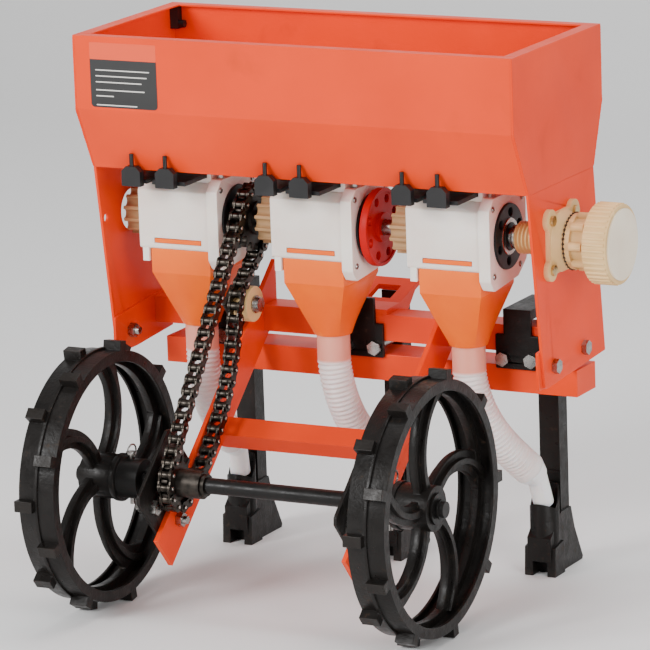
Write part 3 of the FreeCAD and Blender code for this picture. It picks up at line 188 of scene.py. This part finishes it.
def cast_iron(name="black_iron", warm=(0.004, 0.0032, 0.0028), pale=(0.011, 0.009, 0.0078), rust=0.22,
              grit=1.0):
    """Black paint over a sand casting, with a painted brown highlight along the edges."""
    material, tree, shader = new_material(name)
    tone = texture(tree, "Noise", 30, 8, Roughness=0.65)
    base = ramp(tree, tone.outputs["Fac"], ((0.3, warm), (0.75, pale)))
    spots = texture(tree, "Noise", 90, 8, Roughness=0.7)
    spotted = ramp(tree, spots.outputs["Fac"], ((0.6, grey(0)), (0.72, grey(rust))))
    colour = mix(tree, spotted.outputs["Color"], base.outputs["Color"], (0.16, 0.085, 0.045))
    # painted highlight: brown along convex edges
    colour = mix(tree, edge_highlight_mask(tree, 0.54, 0.68), colour, (0.046, 0.036, 0.029))
    tree.links.new(colour, shader.inputs["Base Color"])
    gloss = ramp(tree, spots.outputs["Fac"], ((0.35, grey(0.27)), (0.7, grey(0.55))))
    tree.links.new(gloss.outputs["Color"], shader.inputs["Roughness"])
    sand = texture(tree, "Noise", 380, 6)
    lumps = texture(tree, "Noise", 75, 4)
    bump(tree, shader, ((sand.outputs["Fac"], 0.5 * grit), (lumps.outputs["Fac"], 1.0 * grit)), 0.0011, 0.5)
    shader.inputs["Specular IOR Level"].default_value = 0.22
    return material


def metal(name, dark, light, roughness, stain, stain_colour=(0.2, 0.14, 0.08)):
    """Bare or plated steel with a fine uneven tone and stains."""
    material, tree, shader = new_material(name)
    tone = texture(tree, "Noise", 160, 6)
    base = ramp(tree, tone.outputs["Fac"], ((0.3, dark), (0.7, light)))
    marks = texture(tree, "Noise", 55, 6, Roughness=0.7)
    stained = ramp(tree, marks.outputs["Fac"], ((0.55, grey(0)), (0.75, grey(stain))))
    colour = mix(tree, stained.outputs["Color"], base.outputs["Color"], stain_colour)
    tree.links.new(colour, shader.inputs["Base Color"])
    smooth, dull = grey(roughness * 0.8), grey(min(1, roughness * 1.3))
    rough = ramp(tree, tone.outputs["Fac"], ((0.3, smooth), (0.7, dull)))
    tree.links.new(rough.outputs["Color"], shader.inputs["Roughness"])
    shader.inputs["Metallic"].default_value = 1.0
    bump(tree, shader, ((tone.outputs["Fac"], 0.4), (marks.outputs["Fac"], 0.5)), 0.0003, 0.5)
    return material


def hose_material():
    """Milky hose, pink where it fits over the orange spigot."""
    material, tree, shader = new_material("hose_plastic")
    coords = tree.nodes.new("ShaderNodeTexCoord")
    height = tree.nodes.new("ShaderNodeSeparateXYZ")
    tree.links.new(coords.outputs["Object"], height.inputs["Vector"])
    remap = tree.nodes.new("ShaderNodeMapRange")
    remap.inputs["From Min"].default_value = 0.2245
    remap.inputs["From Max"].default_value = 0.2275
    tree.links.new(height.outputs["Z"], remap.inputs["Value"])
    tone = texture(tree, "Noise", 30, 4)
    white = ramp(tree, tone.outputs["Fac"], ((0.3, (0.84, 0.73, 0.70)), (0.7, (0.92, 0.84, 0.82))))
    colour = mix(tree, remap.outputs["Result"], white.outputs["Color"], (0.90, 0.36, 0.26))
    tree.links.new(colour, shader.inputs["Base Color"])
    rough = ramp(tree, tone.outputs["Fac"], ((0.3, grey(0.3)), (0.7, grey(0.45))))
    tree.links.new(rough.outputs["Color"], shader.inputs["Roughness"])
    fine = texture(tree, "Noise", 500, 3)
    bump(tree, shader, ((fine.outputs["Fac"], 0.3),), 0.0003, 0.4)
    shader.inputs["Subsurface Weight"].default_value = 0.35
    shader.inputs["Subsurface Scale"].default_value = 0.006
    shader.inputs["Subsurface Radius"].default_value = (1.0, 0.55, 0.45)
    return material


def sticker(name, dark, light, roughness):
    """Printed film: fine, shallow grain."""
    return moulded(name, dark, light, roughness, grain=300, grain_height=0.1)


ORANGE = orange_paint()
FUNNEL = moulded("orange_plastic", (0.93, 0.12, 0.002), (1.0, 0.155, 0.003), 0.4, specular=0.22)
MILKY = moulded("milky_plastic", (0.84, 0.73, 0.65), (0.93, 0.85, 0.78), 0.42, subsurface=0.3)
TAN = moulded("tan_plastic", (0.64, 0.40, 0.155), (0.80, 0.54, 0.255), 0.48)
ROLLER = moulded("roller_tan", (0.34, 0.19, 0.085), (0.48, 0.29, 0.14), 0.55)
CAP = moulded("cap_plastic", (0.82, 0.70, 0.54), (0.90, 0.79, 0.64), 0.5, subsurface=0.1)
BLACK = moulded("black_plastic", (0.006, 0.006, 0.0065), (0.013, 0.0125, 0.013), 0.4)
RED = moulded("red_plastic", (0.42, 0.0012, 0.002), (0.55, 0.002, 0.003), 0.38, specular=0.12)
IRON = cast_iron()
AXLE = cast_iron("axle_black", (0.005, 0.0045, 0.0042), (0.011, 0.010, 0.0094), 0.12, 0.45)
CHAIN = metal("chain_steel", (0.03, 0.026, 0.022), (0.085, 0.073, 0.062), 0.34, stain=0.4,
              stain_colour=(0.05, 0.03, 0.02))
SPROCKET = metal("sprocket_steel", (0.028, 0.025, 0.022), (0.07, 0.06, 0.052), 0.4, stain=0.4,
                 stain_colour=(0.04, 0.025, 0.02))
ZINC = metal("zinc", (0.27, 0.262, 0.25), (0.47, 0.455, 0.43), 0.26, stain=0.4)
BRASS = metal("brass_screws", (0.52, 0.38, 0.17), (0.75, 0.58, 0.3), 0.3, stain=0.3)
PIN_STEEL = metal("bright_pins", (0.42, 0.39, 0.35), (0.66, 0.62, 0.57), 0.24, stain=0.4)
DARK_RUBBER = moulded("dark_ring", (0.03, 0.018, 0.01), (0.055, 0.034, 0.02), 0.6)
LABEL_BLACK = sticker("label_black", (0.012, 0.012, 0.012), (0.02, 0.02, 0.02), 0.5)
LABEL_BAND = sticker("label_band", (0.72, 0.06, 0.012), (0.80, 0.075, 0.018), 0.45)
LABEL_PALE = sticker("label_pale", (0.55, 0.53, 0.50), (0.68, 0.66, 0.62), 0.5)
HOSE = hose_material()
SPOUT = moulded("spout_plastic", (0.86, 0.82, 0.80), (0.93, 0.90, 0.89), 0.3, subsurface=0.4, coat=0.2)

LOOKS = {
    "orange_paint": ORANGE, "orange_plastic": FUNNEL, "milky_plastic": MILKY, "tan_plastic": TAN,
    "cap_plastic": CAP, "black_plastic": BLACK, "red_plastic": RED, "black_iron": IRON, "dark_steel": CHAIN,
    "hose_plastic": HOSE, "spout_plastic": SPOUT, "zinc": ZINC, "brass_screws": BRASS,
}

SPECIAL = {
    "wheel_axle": AXLE, "wheel_sleeves": AXLE, "feed_sprocket": SPROCKET, "axle_sprocket": SPROCKET,
    "feed_roller_left": ROLLER, "feed_roller_middle": ROLLER, "feed_roller_right": ROLLER,
}


def dress_nodes():
    """Every CAD node gets its material, and small rounded edges from a bevel modifier."""
    slots = {part["node"]: part["material_slot"] for part in frame["record"]["subparts"]}
    rounding = {
        "orange_paint": 0.5, "orange_plastic": 0.7, "milky_plastic": 1.4, "tan_plastic": 0.6,
        "cap_plastic": 0.8, "black_plastic": 0.8, "red_plastic": 0.6, "black_iron": 1.1,
        "dark_steel": 0.25, "zinc": 0.35,
        "brass_screws": 0.5,
    }
    for name, item in NODES.items():
        slot = slots[name]
        item.data.materials.clear()
        item.data.materials.append(SPECIAL.get(name, LOOKS[slot]))
        if slot in rounding:
            weld = item.modifiers.new("weld", "WELD")
            weld.merge_threshold = 0.00001
            bevel = item.modifiers.new("bevel", "BEVEL")
            bevel.width = rounding[slot] * MM
            bevel.segments = 2
            bevel.limit_method = "ANGLE"
            bevel.angle_limit = math.radians(38)
            bevel.harden_normals = False
            bevel.use_clamp_overlap = True


# ---------------------------------------------------------------- mesh helpers

def mesh_piece(name, bm, material, body, smooth=True, bevel=0.0):
    """Make a piece from a bmesh, give it its material and body."""
    mesh = bpy.data.meshes.new(name)
    bm.to_mesh(mesh)
    bm.free()
    mesh.materials.append(material)
    item = bpy.data.objects.new(name, mesh)
    scene.collection.objects.link(item)
    for face in mesh.polygons:
        face.use_smooth = smooth
    if bevel:
        modifier = item.modifiers.new("bevel", "BEVEL")
        modifier.width = bevel * MM
        modifier.segments = 2
        modifier.limit_method = "ANGLE"
        modifier.angle_limit = math.radians(40)
    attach(item, body)
    return item


def ring(bm, centre, side, other, radius, sides):
    """Vertices evenly round a circle whose plane holds side and other."""
    verts = []
    for k in range(sides):
        angle = 2 * math.pi * k / sides
        verts.append(bm.verts.new(centre + (side * math.cos(angle) + other * math.sin(angle)) * radius))
    return verts


def bridge(bm, a, b):
    """Quads between two closed rows of vertices."""
    for k in range(len(a)):
        n = (k + 1) % len(a)
        bm.faces.new((a[k], a[n], b[n], b[k]))


def capped(bm, rings):
    """Skin a row of rings and close both ends."""
    for a, b in zip(rings, rings[1:]):
        bridge(bm, a, b)
    bm.faces.new(list(reversed(rings[0])))
    bm.faces.new(rings[-1])
    bm.normal_update()


def sweep(bm, path, radius_at, sides):
    """A closed tube of changing radius along a path, by parallel transport."""
    tangents = []
    for i in range(len(path)):
        before = path[max(i - 1, 0)]
        after = path[min(i + 1, len(path) - 1)]
        tangents.append((after - before).normalized())
    side = tangents[0].orthogonal().normalized()
    rings = []
    along = 0.0
    for i, point in enumerate(path):
        if i:
            along += (point - path[i - 1]).length
            turn = tangents[i - 1].rotation_difference(tangents[i])
            side = (turn @ side).normalized()
        other = tangents[i].cross(side)
        rings.append(ring(bm, point, side, other, radius_at(along), sides))
    capped(bm, rings)


def resampled(points, step):
    """The same line with points an even step apart."""
    out = [points[0]]
    left = step
    for a, b in zip(points, points[1:]):
        span = (b - a).length
        if span == 0:
            continue
        done = 0.0
        while span - done >= left:
            done += left
            out.append(a + (b - a) * (done / span))
            left = step
        left -= span - done
    if (out[-1] - points[-1]).length > step * 0.3:
        out.append(points[-1])
    else:
        out[-1] = points[-1]
    return out


# ---------------------------------------------------------------- hoses

SIDES = ("left", "middle", "right")
HOSE_R = 17 * MM
HOSE_TOP = ((0, 0, 253), (0, 0, 236), (0, 0, 220))
HOSE_ROUTES = {
    "left": HOSE_TOP + ((-1, 4, 192), (-2, 16, 163), (-3, 38, 137), (-4, 62, 115)),
    "middle": HOSE_TOP + ((3, 4, 192), (7, 16, 163), (11, 37, 137), (15, 61, 115)),
    "right": HOSE_TOP + ((5, 4, 192), (14, 16, 163), (25, 35, 137), (35, 57, 115)),
}


def route_line(name, points):
    """The smooth line of a route, read from its NURBS spline."""
    curve = bpy.data.curves.new(name, "CURVE")
    curve.dimensions = "3D"
    curve.resolution_u = 24
    spline = curve.splines.new("NURBS")
    spline.points.add(len(points) - 1)
    for control, point in zip(spline.points, points):
        control.co = (*point, 1)
    spline.order_u = 3
    spline.use_endpoint_u = True
    holder = bpy.data.objects.new(name, curve)
    scene.collection.objects.link(holder)
    bpy.context.view_layer.update()
    mesh = bpy.data.meshes.new_from_object(holder)
    line = [v.co.copy() for v in mesh.vertices]
    bpy.data.objects.remove(holder)
    bpy.data.curves.remove(curve)
    return line


def hose_centre(side):
    """The middle of a funnel, at floor height: where its route is measured from."""
    low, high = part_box("seed_funnel_" + side)
    middle = (low + high) / 2
    return Vector((middle.x, middle.y, 0))


def hoses():
    """Corrugated hoses with a plain cuff at each end, in place of the plain tubes."""
    for side in SIDES:
        centre = hose_centre(side)
        points = [centre + Vector(p) * MM for p in HOSE_ROUTES[side]]
        line = route_line("route_" + side, points)
        length = sum((b - a).length for a, b in zip(line, line[1:]))
        cuff = 27 * MM
        pitch = 4.6 * MM

        def radius(along):
            if along < cuff or along > length - 8 * MM:
                return HOSE_R * 0.985
            wave = math.sin(2 * math.pi * (along - cuff) / pitch)
            return HOSE_R * (0.955 + 0.045 * wave)

        bm = bmesh.new()
        sweep(bm, resampled(line, 0.55 * MM), radius, 40)
        hose = mesh_piece("hose_" + side, bm, HOSE, "frame")
        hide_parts("seed_hose_" + side)


# ---------------------------------------------------------------- small pieces

UNIT_SIDES = tuple((side, "metering_housing_" + side) for side in SIDES)


def feed_axis():
    """Y and Z of the feed shaft."""
    low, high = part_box("feed_shaft")
    return (low.y + high.y) / 2, (low.z + high.z) / 2


def rounded_sheet(bm, x_range, z_range, y, thickness, corner, top_round=True):
    """A thin sheet that faces -Y, with rounded corners."""
    x0, x1 = x_range
    z0, z1 = z_range
    centres = [(x1 - corner, z0 + corner, -90, corner), (x1 - corner, z1 - corner, 0, corner),
               (x0 + corner, z1 - corner, 90, corner), (x0 + corner, z0 + corner, 180, corner)]
    outline = []
    for n, (cx, cz, start, radius) in enumerate(centres):
        square = not top_round and n in (1, 2)
        if square:
            outline.append((x1 if n == 1 else x0, z1))
            continue
        for k in range(7):
            angle = math.radians(start + 15 * k)
            outline.append((cx + radius * math.cos(angle), cz + radius * math.sin(angle)))
    back = [bm.verts.new((x, y, z)) for x, z in outline]
    front = [bm.verts.new((x, y - thickness, z)) for x, z in outline]
    bm.faces.new(front)
    bm.faces.new(list(reversed(back)))
    bridge(bm, back, front)
    bm.normal_update()


def label():
    """A blank sticker on the hopper's front: an orange-red band over a black panel with plain pale bars."""
    low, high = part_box("hopper_front_panel")
    x0 = low.x + 17 * MM
    x1 = x0 + 75 * MM
    top = high.z - 6 * MM
    split = top - 17 * MM
    bottom = top - 65 * MM
    film = 0.25 * MM
    bm = bmesh.new()
    rounded_sheet(bm, (x0, x1), (bottom, split), low.y, film, 4 * MM, top_round=False)
    mesh_piece("label_panel", bm, LABEL_BLACK, "frame", smooth=False)
    bm = bmesh.new()
    rounded_sheet(bm, (x0, x1), (split, top), low.y, film, 1.5 * MM)
    mesh_piece("label_band", bm, LABEL_BAND, "frame", smooth=False)
    bm = bmesh.new()
    height = split - 10 * MM
    for length, gap in ((61, 6), (58, 6), (52, 8), (55, 6), (20, 9), (46, 6)):
        bar_x = (x0 + 6 * MM, x0 + (6 + length) * MM)
        rounded_sheet(bm, bar_x, (height - 1.1 * MM, height), low.y - film, 0.12 * MM, 0.5 * MM)
        height -= gap * MM
    mesh_piece("label_bars", bm, LABEL_PALE, "frame", smooth=False)


def bead(bm, start, end, radius, seed):
    """An uneven weld bead along a line."""
    random.seed(seed)
    phase = random.uniform(0, 10)
    line = resampled([Vector(start), Vector(end)], 0.8 * MM)

    def radius_at(along):
        wave = math.sin(along / MM * 2.1 + phase) * 0.14
        lump = noise.noise(Vector((along / MM * 0.35, phase, 0))) * 0.22
        return radius * (1 + wave + lump)

    sweep(bm, line, radius_at, 10)


def hopper_beads():
    """Weld beads down the hopper's four corners, thinner above the bend."""
    low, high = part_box("hopper_front_panel")
    ends = (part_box("hopper_end_left")[0].x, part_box("hopper_end_right")[1].x)
    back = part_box("hopper_back_panel")[1].y
    bend = 486 * MM
    front_slope = 30 * MM
    back_slope = 24 * MM
    inset = 0.4 * MM
    bm = bmesh.new()
    for n, x in enumerate(ends):
        x += inset if n == 0 else -inset
        bead(bm, (x, low.y + inset, bend), (x, low.y + front_slope + inset, low.z + 1 * MM), 0.9 * MM, 3 + n)
        bead(bm, (x, back - inset, bend), (x, back - back_slope - inset, low.z + 1 * MM), 0.9 * MM, 7 + n)
        bead(bm, (x, low.y + inset, bend), (x, low.y + inset, high.z - 2 * MM), 0.55 * MM, 11 + n)
        bead(bm, (x, back - inset, bend), (x, back - inset, high.z - 2 * MM), 0.55 * MM, 15 + n)
    mesh_piece("hopper_welds", bm, ORANGE, "frame")


def lathe(bm, centre, axis, profile, sides):
    """A turned shape: profile is (along axis, radius) pairs."""
    axis = Vector(axis).normalized()
    side = axis.orthogonal().normalized()
    other = axis.cross(side)
    rings = []
    for along, radius in profile:
        rings.append(ring(bm, centre + axis * along, side, other, radius, sides))
    capped(bm, rings)


def pan_head(bm, centre, axis, radius, height):
    """A screw head with a domed top and a round drive recess."""
    profile = ((0, radius), (height * 0.45, radius), (height * 0.85, radius * 0.8), (height, radius * 0.52),
               (height, radius * 0.34), (height * 0.45, radius * 0.28))
    lathe(bm, centre, axis, profile, 20)


def housing_screws():
    """Four pan-head screws round each end flange, and one hex screw on top of it."""
    shaft_y, shaft_z = feed_axis()
    corners = ((-33.5, 33), (33.5, 33), (-33.5, -34), (26, -33))
    for side, node in UNIT_SIDES:
        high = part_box(node)[1]
        bm = bmesh.new()
        for dy, dz in corners:
            pan_head(bm, Vector((high.x, shaft_y + dy * MM, shaft_z + dz * MM)), X, 3.1 * MM, 1.7 * MM)
        top = Vector((high.x - 6 * MM, shaft_y - 22 * MM, shaft_z + 42.8 * MM))
        lathe(bm, top, Z, ((0, 4.4 * MM), (1.0 * MM, 4.4 * MM), (1.1 * MM, 3.5 * MM), (4.2 * MM, 3.5 * MM),
                           (4.8 * MM, 2.9 * MM)), 6)
        mesh_piece("housing_screws_" + side, bm, ZINC, "frame", smooth=False)


def slot_tongues():
    """The funnel's orange tongue that shows in each housing's front slot."""
    shaft_z = feed_axis()[1]
    for side, node in UNIT_SIDES:
        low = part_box(node)[0]
        bm = bmesh.new()
        x0 = low.x + 17.2 * MM
        x1 = x0 + 52.6 * MM
        z0 = shaft_z - 23.6 * MM
        rounded_sheet(bm, (x0, x1), (z0, z0 + 4.3 * MM), low.y + 6.5 * MM, 4.3 * MM, 1.2 * MM)
        mesh_piece("funnel_tongue_" + side, bm, FUNNEL, "frame", smooth=False, bevel=0.3)


def chain_rivets():
    """Bright domed ends on the chain's pins."""
    mesh = NODES["chain_outer_links"].data
    reach = max(v.co.x for v in mesh.vertices)
    start = min(v.co.x for v in mesh.vertices)
    pin_face = 0.02 * MM
    pin_size = 4.5 * MM
    clusters = []
    for vertex in mesh.vertices:
        place = vertex.co
        if reach - place.x > pin_face:
            continue
        for cluster in clusters:
            first = cluster[0]
            if abs(first.y - place.y) < pin_size and abs(first.z - place.z) < pin_size:
                cluster.append(place.copy())
                break
        else:
            clusters.append([place.copy()])
    dome = ((-0.2 * MM, 1.75 * MM), (0.25 * MM, 1.7 * MM), (0.55 * MM, 1.3 * MM), (0.68 * MM, 0.6 * MM))
    bm = bmesh.new()
    for cluster in clusters:
        lows = [min(c[i] for c in cluster) for i in (1, 2)]
        tops = [max(c[i] for c in cluster) for i in (1, 2)]
        y, z = (lows[0] + tops[0]) / 2, (lows[1] + tops[1]) / 2
        for x, out in ((reach, 1), (start, -1)):
            lathe(bm, Vector((x, y, z)), X * out, dome, 12)
    mesh_piece("chain_rivets", bm, PIN_STEEL, "frame")


def annulus(bm, centre, axis, inner, outer, thickness, sides):
    """A flat ring with a rounded outer edge."""
    axis = Vector(axis).normalized()
    side = axis.orthogonal().normalized()
    other = axis.cross(side)
    profile = ((0, inner), (0, outer), (thickness * 0.6, outer), (thickness, outer - thickness * 0.4),
               (thickness, inner))
    rings = []
    for along, radius in profile:
        rings.append(ring(bm, centre + axis * along, side, other, radius, sides))
    for n, a in enumerate(rings):
        bridge(bm, a, rings[(n + 1) % len(rings)])
    bmesh.ops.recalc_face_normals(bm, faces=bm.faces)


def disc_rings():
    """The plated ring round each seed disc's hub."""
    shaft_y, shaft_z = feed_axis()
    for side, node in UNIT_SIDES:
        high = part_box(node)[1]
        bm = bmesh.new()
        centre = Vector((high.x + 2.0 * MM, shaft_y, shaft_z))
        annulus(bm, centre, X, 14.2 * MM, 18.2 * MM, 1.1 * MM, 40)
        mesh_piece("disc_ring_" + side, bm, PIN_STEEL, "feed_drive", smooth=False)


def lock_ring_teeth():
    """The dark toothed ring behind the star nut."""
    shaft_y, shaft_z = feed_axis()
    low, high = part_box("lock_nut")
    radius = (high.z - low.z) / 2
    teeth = 36
    count = teeth * 2
    ends = (low.x - 1.6 * MM, low.x + 0.6 * MM)
    bm = bmesh.new()

    def tooth_ring(x, gap, tip):
        verts = []
        for k in range(count):
            angle = 2 * math.pi * k / count
            r = radius * (tip if k % 2 else gap)
            verts.append(bm.verts.new((x, shaft_y + r * math.cos(angle), shaft_z + r * math.sin(angle))))
        return verts

    rings = [tooth_ring(x, 0.90, 0.985) for x in ends]
    inner = [tooth_ring(x, 0.7, 0.7) for x in ends]
    for k in range(count):
        n = (k + 1) % count
        bm.faces.new((rings[0][k], rings[1][k], rings[1][n], rings[0][n]))
        bm.faces.new((inner[0][n], inner[1][n], inner[1][k], inner[0][k]))
        bm.faces.new((rings[0][n], inner[0][n], inner[0][k], rings[0][k]))
        bm.faces.new((rings[1][k], inner[1][k], inner[1][n], rings[1][n]))
    bm.normal_update()
    mesh_piece("lock_ring_teeth", bm, DARK_RUBBER, "lock_nut_body", smooth=False)


def pin_clips():
    """A spring wire clip through each sleeve pin."""
    low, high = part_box("wheel_pins")
    centre_y = (low.y + high.y) / 2
    loop = 7.0 * MM
    steps = 40
    for side, x in (("left", low.x + 2.5 * MM), ("right", high.x - 2.5 * MM)):
        top = Vector((x, centre_y, high.z - 1.5 * MM))
        points = []
        for k in range(steps):
            turn = k / (steps - 1)
            angle = math.radians(-60 + 330 * turn)
            wobble = 0.8 * MM * math.sin(6 * turn)
            points.append(top + Vector((wobble, loop * math.cos(angle) + 6 * MM, loop * math.sin(angle))))
        bm = bmesh.new()
        sweep(bm, points, lambda along: 0.9 * MM, 10)
        mesh_piece("pin_clip_" + side, bm, ZINC, "axle")


# ---------------------------------------------------------------- setting

def setting():
    """Pale floor that curves up into a backdrop, and soft studio light.

    The backdrop stands closer than the camera, so it hides the object from a camera behind it.
    """
    floor_front, bend_start, bend_radius, wall_top, half_width = -3.0, 2.2, 1.2, 4.5, 5
    bend_steps = 12
    bm = bmesh.new()
    profile = [(floor_front, 0.0), (bend_start, 0.0)]
    for i in range(1, bend_steps + 1):
        angle = math.pi / 2 * i / bend_steps
        profile.append((bend_start + bend_radius * math.sin(angle), bend_radius * (1 - math.cos(angle))))
    profile.append((bend_start + bend_radius, wall_top))
    rows = [[bm.verts.new((x, y, z)) for x in (-half_width, half_width)] for y, z in profile]
    for a, b in zip(rows, rows[1:]):
        bm.faces.new((a[0], a[1], b[1], b[0]))
    mesh = bpy.data.meshes.new("studio")
    bm.to_mesh(mesh)
    bm.free()
    for face in mesh.polygons:
        face.use_smooth = True
    floor = bpy.data.objects.new("studio", mesh)
    scene.collection.objects.link(floor)
    material, tree, shader = new_material("pale_floor")
    shader.inputs["Base Color"].default_value = (0.9, 0.9, 0.9, 1)
    shader.inputs["Roughness"].default_value = 0.7
    mesh.materials.append(material)

    world = bpy.data.worlds.new("studio_light")
    scene.world = world
    world.use_nodes = True
    background = world.node_tree.nodes["Background"]
    background.inputs["Color"].default_value = (1, 1, 1, 1)
    background.inputs["Strength"].default_value = 0.5

    def softbox(name, place, size, power):
        light = bpy.data.lights.new(name, "AREA")
        light.shape = "RECTANGLE"
        light.size = size[0]
        light.size_y = size[1]
        light.energy = power
        item = bpy.data.objects.new(name, light)
        scene.collection.objects.link(item)
        item.location = place
        aim = Vector((0, 0, 0.3)) - Vector(place)
        item.rotation_euler = aim.to_track_quat("-Z", "Y").to_euler()

    softbox("key", (-1.3, -2.9, 1.7), (1.2, 1.2), 104)
    softbox("fill", (2.8, -1.8, 1.3), (1.6, 1.6), 62)
    softbox("top", (0.2, 0.6, 3.0), (1.8, 1.8), 42)


def camera():
    """A long lens, a little above the object, from the adjuster's side."""
    azimuth = math.radians(27.7)
    elevation = math.radians(13.1)
    roll = math.radians(-2.0)
    distance = 4.753
    target = Vector((0.0006, -0.0164, 0.2861))
    forward = Vector((-math.sin(azimuth) * math.cos(elevation), math.cos(azimuth) * math.cos(elevation),
                      -math.sin(elevation)))
    right = Vector((math.cos(azimuth), math.sin(azimuth), 0))
    up = right.cross(forward)
    rolled_right = right * math.cos(roll) + up * math.sin(roll)
    rolled_up = up * math.cos(roll) - right * math.sin(roll)
    lens = bpy.data.cameras.new("camera")
    lens.sensor_width = 36
    lens.lens = 269.5
    lens.clip_end = 50
    item = bpy.data.objects.new("camera", lens)
    scene.collection.objects.link(item)
    turn = Matrix((rolled_right, rolled_up, -forward)).transposed().to_4x4()
    item.matrix_world = Matrix.Translation(target - forward * distance) @ turn
    scene.camera = item


camera()
hoses()
dress_nodes()
label()
hopper_beads()
housing_screws()
slot_tongues()
chain_rivets()
lock_ring_teeth()
disc_rings()
pin_clips()
setting()
